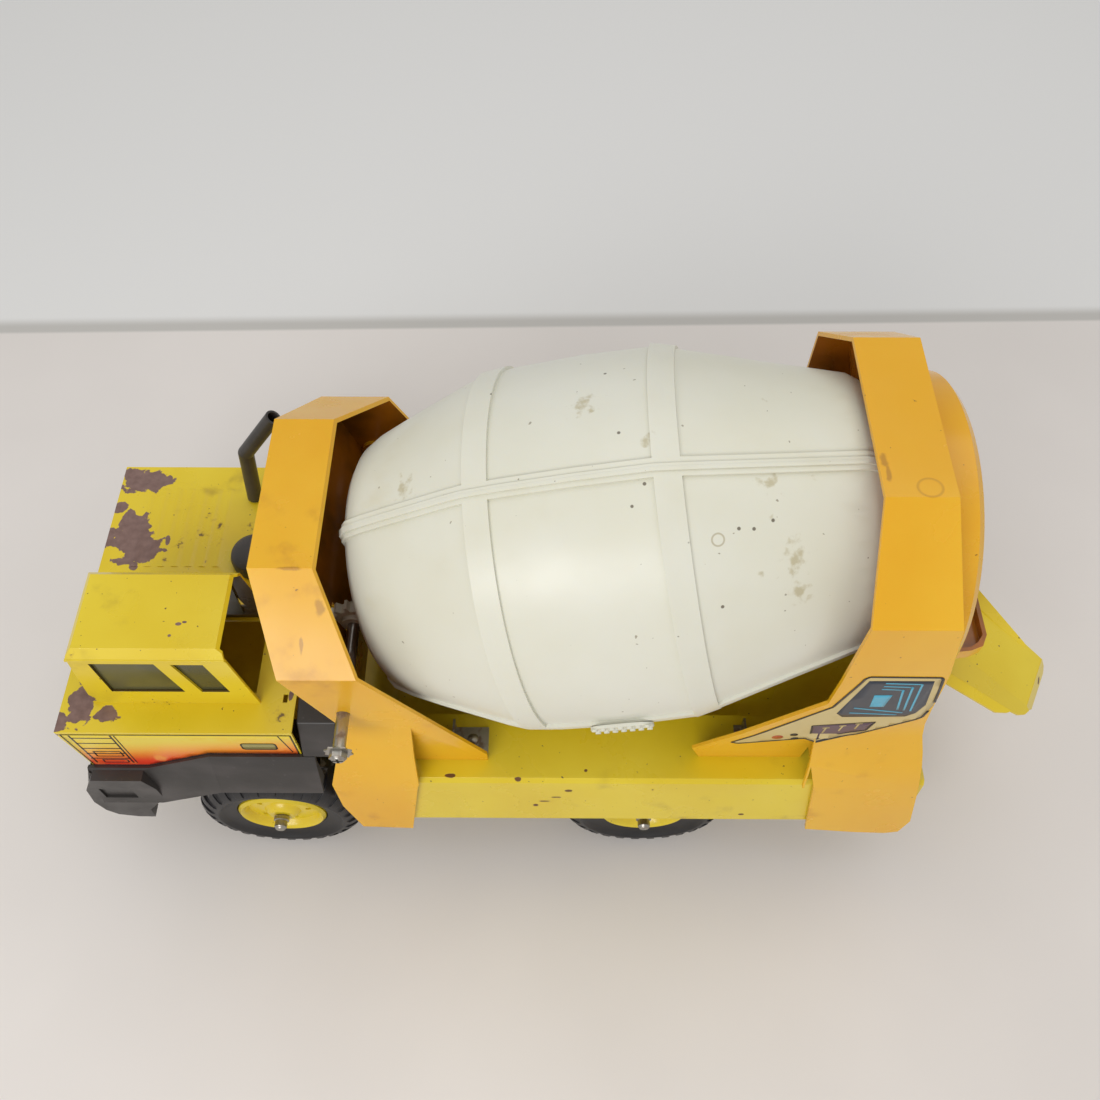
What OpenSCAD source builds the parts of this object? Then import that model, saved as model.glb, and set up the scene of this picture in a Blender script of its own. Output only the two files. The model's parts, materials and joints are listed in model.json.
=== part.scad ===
// Toy cement mixer truck, about 510 mm long.
// Millimetres. +X points to the rear of the truck, +Y to its right-hand side, +Z up.
// The origin is on the ground, under the middle of the truck.

/* [Wheels] */
// Outside diameter of a tyre
wheel_d = 90; // [88:0.5:91]
// Width of a tyre
tyre_w = 32.5; // [30:0.5:33]
// Distance from the centre plane to the middle of a front tyre
track_half = 72.5; // [72:0.5:73]
// Distance from the centre plane to the middle of a rear tyre
rear_track_half = 71; // [70.5:0.5:71]
// Place of the front axle along the truck
front_axle_x = -153; // [-154:0.5:-152]
// Place of the rear axle along the truck
rear_axle_x = 48; // [40:1:56]
// Diameter of the axle rods
axle_d = 5; // [4:0.5:5]

/* [Chassis] */
// Height of the running boards
deck_z = 103; // [102:0.5:104]
// Height of the sunken floor between the wheels
pan_z = 86; // [84:0.5:88]
// Half width of the sunken floor
pan_half_w = 50; // [48:0.5:50]
// Half width over the fold of the running boards
board_half_w = 87; // [86:0.5:87]
// Height of the lower edge of the side skirts
skirt_z = 57; // [56:1:62]
// Thickness of the pressed steel
sheet = 1.2; // [1:0.1:1.2]

/* [Cab] */
// Height of the hood
hood_z = 146; // [145:0.5:147]
// Half width of the cab
cab_half_w = 79.5; // [79:0.5:80]
// Front face of the cab
cab_front_x = -242; // [-243:0.5:-241]
// Rear edge of the cab
cab_rear_x = -128; // [-129:0.5:-128]
// Height of the cabin roof
roof_z = 192; // [188:1:196]
// Number of pressed ribs in the hood
hood_ribs = 7; // [5:1:7]

/* [Drum] */
// Tilt of the drum axis, rising to the rear
drum_tilt = 13.4; // [13.4:0.1:13.4]
// Height of the drum axis at the datum
drum_z = 187.6; // [187.6:0.1:188]
// Largest radius of the drum, outside the raised bands
drum_r = 86.5; // [85.5:0.5:86.5]
// Wall of the drum
drum_wall = 2.2; // [1.8:0.1:2.6]
// Turn of the seam from the top towards the left side
seam_turn = 16.5; // [10:0.5:25]

/* [Drum drive] */
// Teeth on the small gear
pinion_teeth = 12; // [12:1:12]
// Teeth on the crown gear
crown_teeth = 30; // [30:1:30]
// Diameter of the crank rod
rod_d = 6; // [5:0.5:6]
// Half length of the crank rod, from the centre plane to its ends
rod_reach = 96; // [95:0.5:97]

/* [Chute] */
// Turn of the chute about its pivot at rest, towards the left side
chute_turn = -28; // [-30:0.5:-26]
// Fall of the chute below level
chute_fall = 27; // [26:0.5:28]
// Reach of the chute from its pivot
chute_reach = 80; // [79:0.5:81]

/* [Hidden] */
middle_x = -5;
$fn = 96;

steel_yellow = "#E0C52C";
support_yellow = "#EDB63C";
dark_plastic = "#3E3B39";
drum_white = "#DEDECF";
bare_steel = "#A9A7A1";
nylon = "#E9E6D8";

wheel_r = wheel_d / 2;
axle_z = wheel_r;
axle_gap = 0.05;
hub_r = 24;
drum_x = -15;
chassis_front_x = -236;
chassis_rear_x = 187;
board_front_x = -104;
skirt_half_w = 90.9;
shoulder_wall = 2;

// Places along the drum axis, counted from the datum, positive to the rear
front_face_t = -72.5;
band_t = [-6.6, 72.5];
band_w = 11;
band_rise = 1.6;
mouth_t = 172;
bearing_t = 163;
neck_r = 52;
front_face_r = 57.6;

// Crown gear and pinion
crank_t = -87;
pitch_t = -76.2;
pinion_r = pitch_t - crank_t;
crown_r = pinion_r * crown_teeth / pinion_teeth;
tooth_rise = 1.2;
crank_x = drum_x + crank_t * cos(drum_tilt);
crank_z = drum_z + crank_t * sin(drum_tilt);
crank_arm_len = 40;
crank_arm_turn = 184;
crank_arm_y = 89.6;

// Chute pivot
pivot_x = 177;
mount_z = 109;
eye_z = mount_z + 0.4;
chute_tip_z = 116.7;

function mirror_y(pts) = [for (i = [len(pts) - 1 : -1 : 0]) [-pts[i][0], pts[i][1]]];
function both_sides(pts) = concat(pts, mirror_y(pts));

// Drum outline: [place along the axis, outside radius]
drum_outline = [
    [front_face_t, front_face_r - 9], [front_face_t + 1.5, front_face_r - 1.4], [front_face_t + 5, front_face_r + 3.2],
    [-60, 65.2], [-45, 71.2], [-30, 76.8], [-15, 82.4], [-6.6, 85], [10, drum_r], [40, drum_r + 0.8],
    [72.5, drum_r - 0.4], [83.5, 83.2], [100, 78.2], [120, 72], [140, 66], [156, 61.2], [161, 57.5]
];
// Extrude a drawing of (x, z) points from y0 to y1
module along_y(y0, y1) {
    translate([0, y1, 0]) rotate([90, 0, 0]) linear_extrude(y1 - y0) children();
}

// Extrude a drawing of (y, z) points from x0 to x1
module along_x(x0, x1) {
    translate([x0, 0, 0]) rotate([90, 0, 90]) linear_extrude(x1 - x0) children();
}

// The drum's own frame: local +Z runs along the axis to the rear, local -X points up
module in_drum_frame() {
    translate([drum_x, 0, drum_z]) rotate([0, 90 - drum_tilt, 0]) children();
}

// Both sides of the truck
module left_and_right() {
    children();
    mirror([0, 1, 0]) children();
}

// ---------------------------------------------------------------- chassis

pan_section = [
    [-skirt_half_w, skirt_z], [-board_half_w, deck_z - 2.5], [-board_half_w + 2, deck_z],
    [-pan_half_w, deck_z], [-pan_half_w, pan_z]
];
pan_inside = [
    [-skirt_half_w + sheet, skirt_z - 1], [-board_half_w + sheet, deck_z - 2.5 - sheet / 2],
    [-board_half_w + 2.6, deck_z - sheet],
    [-pan_half_w - sheet, deck_z - sheet], [-pan_half_w - sheet, pan_z - sheet]
];

module chassis_pan() {
    color(steel_yellow) difference() {
        union() {
            along_x(board_front_x, chassis_rear_x) difference() {
                polygon(both_sides(pan_section));
                polygon(both_sides(pan_inside));
            }
            translate([chassis_front_x, -pan_half_w, pan_z - sheet])
                cube([board_front_x - chassis_front_x + 1, 2 * pan_half_w, sheet]);
            left_and_right() translate([chassis_front_x, pan_half_w - sheet, pan_z - 14])
                cube([board_front_x - chassis_front_x + 1, sheet, 14]);
            translate([chassis_rear_x - sheet, -board_half_w + 3, pan_z - 24])
                cube([sheet, 2 * board_half_w - 6, deck_z - pan_z + 23]);
        }
        for (x = [-130, -60, -10, 120, 160]) translate([x, 0, pan_z]) cylinder(h = 8, d = 9, center = true);
    }
}

// Channel under the floor with an ear and a bore at each side
module axle_bracket(x) {
    half = 46;
    color(bare_steel) translate([x, 0, 0]) difference() {
        union() {
            translate([-13, -half, pan_z - sheet - 1.5]) cube([26, 2 * half, 1.5]);
            left_and_right() along_y(half - 2, half)
                polygon([[-13, pan_z - sheet], [13, pan_z - sheet], [7, axle_z - 8], [-7, axle_z - 8]]);
        }
        translate([0, 0, axle_z]) rotate([90, 0, 0])
            cylinder(h = 2 * half + 10, r = axle_d / 2 + axle_gap, center = true);
    }
}

module axle_bracket_front() { axle_bracket(front_axle_x); }
module axle_bracket_rear() { axle_bracket(rear_axle_x); }

// Round-headed rivet standing on z = 0
module rivet(d, h) {
    intersection() {
        cylinder(h = h, d = d, $fn = 32);
        translate([0, 0, h - d * 0.62]) sphere(d = d * 1.24, $fn = 32);
    }
}

module chassis_rivets() {
    color(bare_steel)
        for (x = [front_axle_x, rear_axle_x], dx = [-8, 8], y = [-30, 30])
            translate([x + dx, y, pan_z]) rivet(6, 1.8);
}

// ---------------------------------------------------------------- cab

cab_side = [
    [cab_front_x, hood_z], [cab_rear_x, hood_z], [cab_rear_x, 119], [-174, 119.5], [-209, 103.5],
    [cab_front_x + 3.7, 103.5]
];
cab_inside = [
    [cab_front_x + sheet, hood_z - sheet], [cab_rear_x + 5, hood_z - sheet], [cab_rear_x + 5, 90],
    [cab_front_x + sheet + 3.7, 90], [cab_front_x + sheet + 3.7, 103.5]
];

cabin_x = [-225, -154];
cabin_base_x = [-226.5, -145];
cabin_y = [-61.2, -15];
cabin_base_y = -64;

module cab_shell() {
    rib_pitch = 7.2;
    color(steel_yellow) difference() {
        union() {
            along_y(-cab_half_w, cab_half_w) polygon(cab_side);
            along_y(-68, 68) polygon([
                [cab_front_x + 3.5, 108], [cab_front_x + 3.5 + sheet, 108],
                [cab_front_x + 3.5 + sheet, pan_z - 6], [cab_front_x + 3.5, pan_z - 6]
            ]);
            for (i = [0 : hood_ribs - 1])
                translate([-224 + i * rib_pitch, 14, hood_z]) along_y(0, 50)
                    polygon([[-3.2, -0.3], [-1.1, 0.45], [1.1, 0.45], [3.2, -0.3]]);
            for (i = [0 : 5])
                translate([cab_front_x + 3.5 * (34 - i * 5) / 39.5, 0, 112 + i * 5]) along_y(-52, 52)
                    polygon([[0.6, -1.2], [-0.9, -0.5], [-0.9, 0.5], [0.6, 1.2]]);
        }
        along_y(-cab_half_w + sheet, cab_half_w - sheet) polygon(cab_inside);
        translate([cabin_x[0] + 1, cabin_y[0] + 3, hood_z - 5])
            cube([cabin_x[1] - cabin_x[0] + 5, cabin_y[1] - cabin_y[0] - 6, 10]);
        translate([-133.3, -61, hood_z]) cube([2.2, 4.5, 6], center = true);
        translate([-166.8, 58.6, hood_z]) cylinder(h = 8, r = 2.5, center = true, $fn = 32);
        translate([air_cleaner_x, 18, hood_z]) cylinder(h = 8, r = 3.5, center = true, $fn = 32);
    }
}

// Outline of the cabin seen from the side
cabin_side = [
    [cabin_base_x[0], hood_z], [cabin_x[0] + 0.2, roof_z - 3.2], [cabin_x[0] + 3, roof_z],
    [cabin_x[1] - 2, roof_z], [cabin_x[1] + 1, roof_z - 2], [cabin_base_x[1], hood_z]
];
cabin_end = [
    [cabin_base_y, hood_z - 1], [cabin_y[0], roof_z - 4], [cabin_y[0] + 3.5, roof_z],
    [cabin_y[1] - 3.5, roof_z], [cabin_y[1], roof_z - 4], [cabin_y[1], hood_z - 1]
];
window_front = [[-216, 183.5], [-186, 183.5], [-178.5, 157.5], [-213.5, 157.5]];
window_rear = [[-178.5, 183], [-163.5, 183], [-157, 157.5], [-170.5, 157.5]];

// Solid of the cabin, drawn in by a margin all round
module cabin_block(m) {
    intersection() {
        along_y(cabin_base_y - 1, cabin_y[1] + 1) polygon([
            cabin_side[0] + [m, 0], cabin_side[1] + [m, -m / 2], cabin_side[2] + [m / 2, -m],
            cabin_side[3] + [m * 8, -m], cabin_side[4] + [m * 8, -m], cabin_side[5] + [m * 8, 0]
        ]);
        along_x(cabin_base_x[0] - 1, cabin_base_x[1] + 12) polygon([
            cabin_end[0] + [m, -m], cabin_end[1] + [m, -m / 2], cabin_end[2] + [m / 2, -m],
            cabin_end[3] + [-m / 2, -m], cabin_end[4] + [-m, -m / 2], cabin_end[5] + [-m, -m]
        ]);
    }
}

module cabin_windows() {
    along_y(cabin_base_y - 5, cabin_y[1] + 5) polygon(window_front);
    along_y(cabin_base_y - 5, cabin_y[1] + 5) polygon(window_rear);
    along_x(cabin_base_x[0] - 5, cabin_x[0] + 8)
        polygon([[-58, 157.5], [-56, 184], [-20.5, 184], [-20.5, 157.5]]);
}

module cabin_shell() {
    color(steel_yellow) {
        difference() {
            cabin_block(0);
            cabin_block(sheet);
            cabin_windows();
        }
        // Gutter along the edge of the roof
        along_y(cabin_y[0] - 0.9, cabin_y[0] + 0.4) polygon([
            [cabin_x[0] - 0.4, roof_z - 5.4], [cabin_x[0] - 0.2, roof_z - 4], [cabin_x[1] + 1.6, roof_z - 4],
            [cabin_x[1] + 2.2, roof_z - 5.4]
        ]);
    }
}

module cabin_glazing() {
    color("#8A7F48", 0.7) difference() {
        cabin_block(sheet + 0.15);
        cabin_block(sheet + 1.15);
        translate([cabin_base_x[0] - 5, cabin_base_y - 5, hood_z - 2]) cube([100, 80, 8]);
        translate([cabin_base_x[0] - 5, cabin_base_y - 5, roof_z - 5.5]) cube([100, 80, 8]);
        translate([cabin_x[1] - 5, cabin_base_y - 5, hood_z - 2]) cube([40, 80, 60]);
    }
}

// Section of the flared fender band as (y, z), where it runs over the front wheel
fender_band = [
    [-79.7, 118], [-79.7, 120.6], [-81.5, 121], [-82.6, 119.6], [-89.6, 91.5], [-87.2, 91.5], [-80.7, 118]
];
fender_rear_x = -121;
ramp_top_x = -174;
ramp_foot_x = -209;
ramp_drop = 16;
ramp_slope = ramp_drop / (ramp_top_x - ramp_foot_x);
// Outline of the bumper end seen from the side
bumper_end = [
    [-238, 104], [-245, 90], [-247.5, 72], [-245.5, 59], [-241, 52], [-231, 48.6], [-222, 48.4], [-221, 60],
    [-214, 70], [-208, 77], [-208, 92], [-212, 104]
];
// Section of the bumper beam
beam_side = [
    [-239.2, 103], [-240, 104], [-246, 87], [-247.5, 72], [-245.5, 59], [-242, 54], [-239.2, 58]
];

module bumper_fenders() {
    color(dark_plastic) difference() {
        union() {
            left_and_right() {
                along_x(ramp_top_x, fender_rear_x) polygon(fender_band);
                multmatrix([[1, 0, 0, 0], [0, 1, 0, 0], [ramp_slope, 0, 1, -ramp_top_x * ramp_slope], [0, 0, 0, 1]])
                    along_x(ramp_foot_x - 0.3, ramp_top_x + 0.3) polygon(fender_band);
                translate([0, 0, -ramp_drop]) along_x(-240.5, ramp_foot_x) polygon(fender_band);
                along_y(-88.2, -81.2) polygon(bumper_end);
                // Rear end of the fender, closed down to its edge
                along_x(fender_rear_x - 2.4, fender_rear_x - 0.6)
                    polygon([[-80.3, 119], [-82, 118], [-88.2, 92.6], [-80.3, 92.6]]);
                // Shelf over the front wheel, tied to the cab
                along_y(-80.4, -60) polygon([
                    [-121.7, 115.6], [-121.7, 118.5], [-175, 118.5], [-210, 102.4], [-236, 102.4], [-236, 99.6],
                    [-209.4, 99.6], [-174.4, 115.6]
                ]);
            }
            along_y(-83.6, 83.6) polygon(beam_side);
        }
        // Step pressed into the corner of the bumper
        left_and_right() translate([-238, -95, 80]) cube([17, 8, 12]);
        // Lamp recesses in the front face
        left_and_right() translate([-249, 62, 79.6]) rotate([0, 90, 0]) cylinder(h = 4.2, r = 6);
    }
}

module side_tank() {
    color(dark_plastic) along_x(-127, -107.5)
        polygon([[-56, 118.5], [-56, 146], [-61, 146.5], [-73.5, 144], [-81.8, 121.3], [-79.4, 121.3], [-79.4, 118.5]]);
}

module side_tank_left() { side_tank(); }
module side_tank_right() { mirror([0, 1, 0]) side_tank(); }

// Straight round bar between two points
module bar(a, b, r) {
    d = b - a;
    len_ab = norm(d);
    translate(a) rotate([0, acos(d[2] / len_ab), atan2(d[1], d[0])]) cylinder(h = len_ab, r = r, $fn = 32);
}

exhaust = [[-166.8, 58.6, hood_z - 4], [-166.8, 58.6, hood_z], [-162, 58.6, 186.5], [-141.5, 58.6, 215]];

module exhaust_stack() {
    color(dark_plastic) difference() {
        union() {
            bar(exhaust[0], exhaust[1] + [0, 0, 2], 2.4);
            bar(exhaust[1] + [0.2, 0, 1.2], exhaust[2], 4);
            translate(exhaust[2]) sphere(r = 4, $fn = 32);
            bar(exhaust[2], exhaust[3], 4);
        }
        bar(exhaust[3] - [5.8, 0, 8.1], exhaust[3] + [5.8, 0, 8.1], 2.9);
    }
}

air_cleaner_x = -159.5;

module air_cleaner() {
    color(dark_plastic) translate([air_cleaner_x, 18, hood_z]) {
        translate([0, 0, -4]) cylinder(h = 5, r = 3.4, $fn = 32);
        rotate_extrude() polygon([[0, 0.1], [11.5, 0.1], [12.2, 1], [12.2, 6], [11.4, 8.6], [8.8, 10.6], [5, 11.6], [0, 12]]);
    }
}

module cab_rivets() {
    color(bare_steel) left_and_right()
        for (x = [-228, -200, -150]) translate([x, 44, pan_z]) rivet(5, 1.6);
}

// ---------------------------------------------------------------- drum supports

front_arch = [[-41, 235], [-80, 206], [-77.8, 150], [-84.8, 129], [-89.8, deck_z], [-94.2, 49]];
front_arch_foot = [[-41, 235], [-80, 206], [-77.8, 150], [-75.5, deck_z]];
front_side = [
    [-134, 235], [-106, 235], [-87.5, 206], [-36, 111], [-36, deck_z], [-71, deck_z], [-79, 49],
    [-106, 51], [-113, 78], [-114.5, 104], [-108, 131], [-105, 155], [-122, 206]
];
rear_arch = [[-41.5, 290], [-80, 254], [-80, 206], [-77.2, 142], [-85.4, 124], [-89.8, deck_z], [-94.6, 46]];
rear_arch_foot = [[-41.5, 290], [-80, 254], [-80, 206], [-77.2, 142], [-73, deck_z]];
rear_side = [
    [124, 290], [152.5, 290], [158, 254], [165, 216], [169, 180], [172, 158], [178, 132], [190, 62], [187, 48],
    [180, 46], [163, 47], [135.5, 51], [129.5, 104], [125, 122], [125, deck_z], [72.5, deck_z], [69, 113], [67.5, 118],
    [121, 182], [122, 254]
];

// Cut a side outline out of an arch that runs along the truck
module arch_slice(section, x0, x1) {
    along_x(x0, x1) polygon(both_sides(section));
}

function inset(section) = [
    for (i = [0 : len(section) - 1])
        i == 0 ? section[i] + [0.6, -shoulder_wall]
            : i == 1 ? section[i] + [shoulder_wall, -0.9]
            : i == len(section) - 1 ? section[i] + [shoulder_wall, -5]
            : section[i] + [shoulder_wall, 0]
];

// Hollow moulding: the arch outside less the arch inside, cut to the side outline
module moulded_arch(section, side, x0, x1) {
    intersection() {
        difference() {
            arch_slice(section, x0, x1);
            arch_slice(inset(section), x0 - 1, x1 + 1);
        }
        along_y(-120, 120) polygon(side);
    }
}

// Wall that closes one end of an arch, following a bent line of (x, z) points
module arch_wall(section, line, thick, x0, x1) {
    outline = concat(line, [for (i = [len(line) - 1 : -1 : 0]) line[i] + [thick, 0]]);
    intersection() {
        arch_slice(section, x0, x1);
        along_y(-79.5, 79.5) polygon(outline);
    }
}

module front_drum_support() {
    wall_line = [[-134, 235.5], [-122, 206], [-105, 155], [-106, deck_z]];
    color(support_yellow) difference() {
        union() {
            difference() {
                moulded_arch(front_arch, front_side, -140, -70.5);
                translate([-71.6, -74, deck_z - 60]) cube([10, 148, 60]);
            }
            intersection() {
                moulded_arch(front_arch_foot, front_side, -73, -30);
                translate([-100, -100, deck_z]) cube([100, 200, 200]);
            }
            arch_wall(front_arch_foot, wall_line, shoulder_wall, -140, -70);
            // Boss around the crank rod on each side
            left_and_right() translate([crank_x, -74.5, crank_z]) rotate([90, 0, 0]) cylinder(h = 3, r = 6.4);
        }
        translate([crank_x, 0, crank_z]) rotate([90, 0, 0])
            cylinder(h = 240, r = rod_d / 2 + 0.08, center = true);
        // Slot in the front wall for the small gear
        translate([crank_x, -crown_r, crank_z]) rotate([90, 0, 0])
            cylinder(h = 7, r = pinion_r + tooth_rise + 0.8, center = true);
    }
}

dome_z = 207;
dome_r = 73;
dome_x = 172;
spout_z = 171;

module spout_outline(m) {
    polygon([
        [165, -52 + m], [182, -50 + m], [194, -48.5 + m], [200 - m, -46 + m], [203 - m, -40],
        [203 - m, 40], [200 - m, 46 - m], [194, 48.5 - m], [182, 50 - m], [165, 52 - m]
    ]);
}

module rear_drum_support() {
    wall_line = [
        [152.5 - shoulder_wall, 290.5], [158 - shoulder_wall, 254], [165 - shoulder_wall, 216],
        [169 - shoulder_wall, 180], [168, deck_z]
    ];
    color(support_yellow) difference() {
        union() {
            difference() {
                moulded_arch(rear_arch, rear_side, 124, 195);
                translate([100, -73.2, deck_z - 60]) cube([100, 146.4, 60]);
            }
            intersection() {
                moulded_arch(rear_arch_foot, rear_side, 60, 135);
                translate([50, -100, deck_z]) cube([150, 200, 200]);
            }
            arch_wall(rear_arch_foot, wall_line, shoulder_wall, 120, 175);
            // Half-round cover over the drum mouth
            translate([140, 0, dome_z]) rotate([0, 90, 0]) intersection() {
                rotate_extrude() polygon([
                    [0, 0], [dome_r - 4, 0], [dome_r, 12], [dome_r, dome_x - 144], [dome_r - 3.5, dome_x - 140.8],
                    [dome_r - 7, dome_x - 140], [0, dome_x - 140]
                ]);
                translate([-100, -100, 10]) cube([140, 200, 40]);
            }
            // Shelf under the cover, with the discharge port
            translate([0, 0, spout_z - 2.2]) linear_extrude(2.2) spout_outline(0);
            translate([0, 0, spout_z - 2.2]) linear_extrude(7) difference() {
                spout_outline(0);
                spout_outline(2);
                translate([160, -45]) square([7, 90]);
            }
        }
        // Inside of the cover
        translate([140, 0, dome_z]) rotate([0, 90, 0]) intersection() {
            translate([0, 0, -30]) cylinder(h = dome_x - 140 + 30 - 2.4, r = dome_r - 2.4);
            translate([-100, -100, -60]) cube([100 + dome_z - spout_z, 200, 120]);
        }
        // Room under the neck of the drum, in front of the shelf
        translate([140, -66, spout_z - 10]) cube([20.5, 132, 10.5]);
        // Discharge port through the shelf
        translate([173, -27, spout_z - 10]) cube([22, 54, 20]);
        translate([150, -27, spout_z]) cube([45, 54, 12]);
    }
}

// Bent steel post that carries the front of the drum
module bearing_post() {
    color(bare_steel) difference() {
        union() {
            in_drum_frame() translate([0, 0, -81]) {
                linear_extrude(2)
                    polygon([[-14, -8], [-8, -14], [83.7, -14], [83.7, 14], [-8, 14], [-14, 8]]);
                cylinder(h = 5, r = 10);
            }
            translate([-77, -16, pan_z]) cube([23, 32, 2]);
        }
        in_drum_frame() translate([0, 0, -90]) cylinder(h = 30, r = 6.06);
    }
}

// Plate across the rear support whose bore carries the neck of the drum
module rear_bearing_plate() {
    color(support_yellow) difference() {
        intersection() {
            along_x(120, 170) polygon(both_sides([
                [-39.5, 288], [-78, 251.6], [-78, 210], [-70, 209.5], [-69.2, 196], [-65.5, 182], [-60.6, 172]
            ]));
            in_drum_frame() translate([0, 0, bearing_t]) union() {
                translate([-80, -80]) cube([180, 160, 2.4]);
                cylinder(h = 4.6, r = neck_r + 3);
            }
        }
        in_drum_frame() translate([0, 0, bearing_t - 20]) cylinder(h = 60, r = neck_r + 0.08);
    }
}

module deck_clips() {
    color(bare_steel) left_and_right() {
        along_y(-72, -58) polygon([[-54, deck_z], [-36, deck_z], [-36, deck_z + 1.2], [-52.8, deck_z + 1.2],
            [-52.8, deck_z + 12], [-54, deck_z + 12]]);
        along_y(-68, -56) polygon([[92, deck_z], [97, deck_z], [97, deck_z + 10], [95.8, deck_z + 10],
            [95.8, deck_z + 1.2], [92, deck_z + 1.2]]);
    }
}

module support_screws() {
    color(bare_steel) left_and_right() {
        translate([-44, -65, deck_z + 1.2]) rivet(6, 2.4);
        translate([93.4, -62, deck_z + 1.2]) rivet(3, 1.6);
    }
}

// ---------------------------------------------------------------- chute

module chute_mount() {
    color(bare_steel) difference() {
        union() {
            translate([pivot_x - 7, -13, mount_z - 2]) cube([16, 26, 2]);
            left_and_right() translate([pivot_x - 7, -13, pan_z]) cube([14, 2, mount_z - pan_z]);
        }
        translate([pivot_x, 0, mount_z]) cylinder(h = 12, r = 3, center = true);
    }
}

module chute_pivot_rivet() {
    color(bare_steel) translate([pivot_x, 0, 0]) {
        translate([0, 0, mount_z - 4]) cylinder(h = eye_z + 2.4 - mount_z + 4, r = 3);
        translate([0, 0, eye_z + 2.3]) rivet(9, 2.2);
        translate([0, 0, mount_z - 5]) cylinder(h = 3, r = 4.4);
    }
}

// Children are placed in the frame of the swung chute, with its pivot on the Z axis
module chute_frame() {
    translate([pivot_x, 0, 0]) rotate([0, 0, chute_turn]) children();
}

// Height of the underside of the chute floor above the ground, at a distance from the pivot
function trough_z(r) = chute_tip_z + (chute_reach - r) * tan(chute_fall);

module trough_frame(r) {
    chute_frame() translate([r, 0, trough_z(r)]) rotate([0, chute_fall, 0]) children();
}

// Flat piece of sheet, drawn in plan and raised by du and dv for each millimetre along and across
module sloped_sheet(du, dv, rise) {
    multmatrix([[1, 0, 0, 0], [0, 1, 0, 0], [du, dv, 1, rise], [0, 0, 0, 1]]) linear_extrude(sheet) children();
}

// In the frame of the chute floor the origin is the middle of the crease at its lower end
module chute_trough() {
    fold_slope = 9.2;
    color(steel_yellow) trough_frame(chute_reach) {
        linear_extrude(sheet) polygon([[-66, -15.9], [0, -13.9], [0, 16.4], [-14, 17.3], [-66, 16.4]]);
        // Side wall that flares out on the left, with its folded hem
        sloped_sheet(0, -0.15, -2.1) polygon([
            [-60, -15.6], [-60, -32.2], [-8, -24.2], [-4, -23.2], [0, -20], [2.2, -16], [0, -13.8]
        ]);
        translate([-60, -32.2, 2.2]) rotate([0, 0, fold_slope - 0.6]) sloped_sheet(-0.022, 0.5, 0.4)
            polygon([[0, -4.6], [44, -4], [50, -1.5], [52, 0.4], [0, 0.4]]);
        // Steeper side wall on the right, dying out towards the lower end
        sloped_sheet(0, 1.4, -1.4 * 15.2) polygon([[-60, 15.9], [-60, 20.4], [-14, 16.2], [-9, 14.7]]);
        // Lip bent down at the lower end
        rotate([0, 34, 0]) linear_extrude(sheet) polygon([
            [-0.6, -14.2], [3.6, -14.2], [8.6, -10], [8.8, 13.6], [6, 16.7], [-0.6, 16.5]
        ]);
    }
}

module chute_bracket() {
    reach = 34;
    under = trough_z(reach);
    rise = tan(chute_fall);
    color(bare_steel) chute_frame() difference() {
        union() {
            translate([0, 0, eye_z]) cylinder(h = 2, r = 7);
            along_y(-7, 7) polygon([
                [0, eye_z], [17, eye_z], [reach - 8, under + 8 * rise - 2.4], [reach + 9, under - 9 * rise - 2.3],
                [reach + 9, under - 9 * rise - 0.1], [reach - 9, under + 9 * rise - 0.1], [15.6, eye_z + 2], [0, eye_z + 2]
            ]);
        }
        translate([0, 0, eye_z]) cylinder(h = 12, r = 3.06, center = true);
    }
}

module chute_rivets() {
    color(bare_steel) trough_frame(34) for (y = [-4, 4]) translate([0, y, sheet]) rivet(4, 1.4);
}

// ---------------------------------------------------------------- drum

// Outline of the drum as (radius, place) points, grown outwards by a rise
module drum_profile(rise) {
    polygon(concat(
        [[0, front_face_t - rise * 0.6]],
        [for (p = drum_outline) [p[1] + rise, p[0] - (p[0] < -65 ? rise * 0.6 : 0)]],
        [[neck_r, 162], [0, 162]]
    ));
}

module drum_solid(rise) {
    rotate_extrude() drum_profile(rise);
}

module drum_cavity() {
    rotate_extrude() polygon(concat(
        [[0, front_face_t + drum_wall]],
        [for (p = drum_outline) [p[1] - drum_wall, max(p[0], front_face_t + drum_wall) - (p[0] > 158 ? drum_wall : 0)]],
        [[neck_r - drum_wall, 160], [neck_r - drum_wall, 190], [0, 190]]
    ));
}

// Closed body of the drum with its raised bands and ribs
module drum_body() {
    rib_w = 8;
    difference() {
        union() {
            drum_solid(0);
            // Rings round the drum
            for (t = band_t) intersection() {
                drum_solid(band_rise);
                translate([0, 0, t]) cylinder(h = band_w, r = 120);
            }
            // Ribs along the drum, a quarter turn apart
            intersection() {
                drum_solid(band_rise);
                rotate([0, 0, 180 + seam_turn]) union() {
                    translate([-120, -rib_w / 2, -80]) cube([240, rib_w, 240]);
                    translate([-rib_w / 2, -120, -80]) cube([rib_w, 240, 240]);
                }
            }
            // Step along the seam
            intersection() {
                drum_solid(band_rise + 1);
                rotate([0, 0, 180 + seam_turn]) translate([-120, -1.2, -80]) cube([240, 3, 240]);
            }
            // Neck
            translate([0, 0, 160]) cylinder(h = mouth_t - 160, r = neck_r);
        }
        drum_cavity();
        translate([0, 0, front_face_t - 10]) cylinder(h = 20, r = 6);
        // Seat of the crown gear
        translate([0, 0, front_face_t - 10]) cylinder(h = 10, r = crown_r + 4.6);
    }
}

// Keep one side of the seam plane; side is +1 for the left half
module drum_half(side) {
    color(drum_white) in_drum_frame() intersection() {
        drum_body();
        rotate([0, 0, seam_turn + (side > 0 ? 0 : 180)])
            translate([-150, -300, -100]) cube([300, 300, 300]);
    }
}

module drum_half_left() { drum_half(1); }
module drum_half_right() { drum_half(-1); }

hatch_t = 39;
hatch_r = 89;

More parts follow.
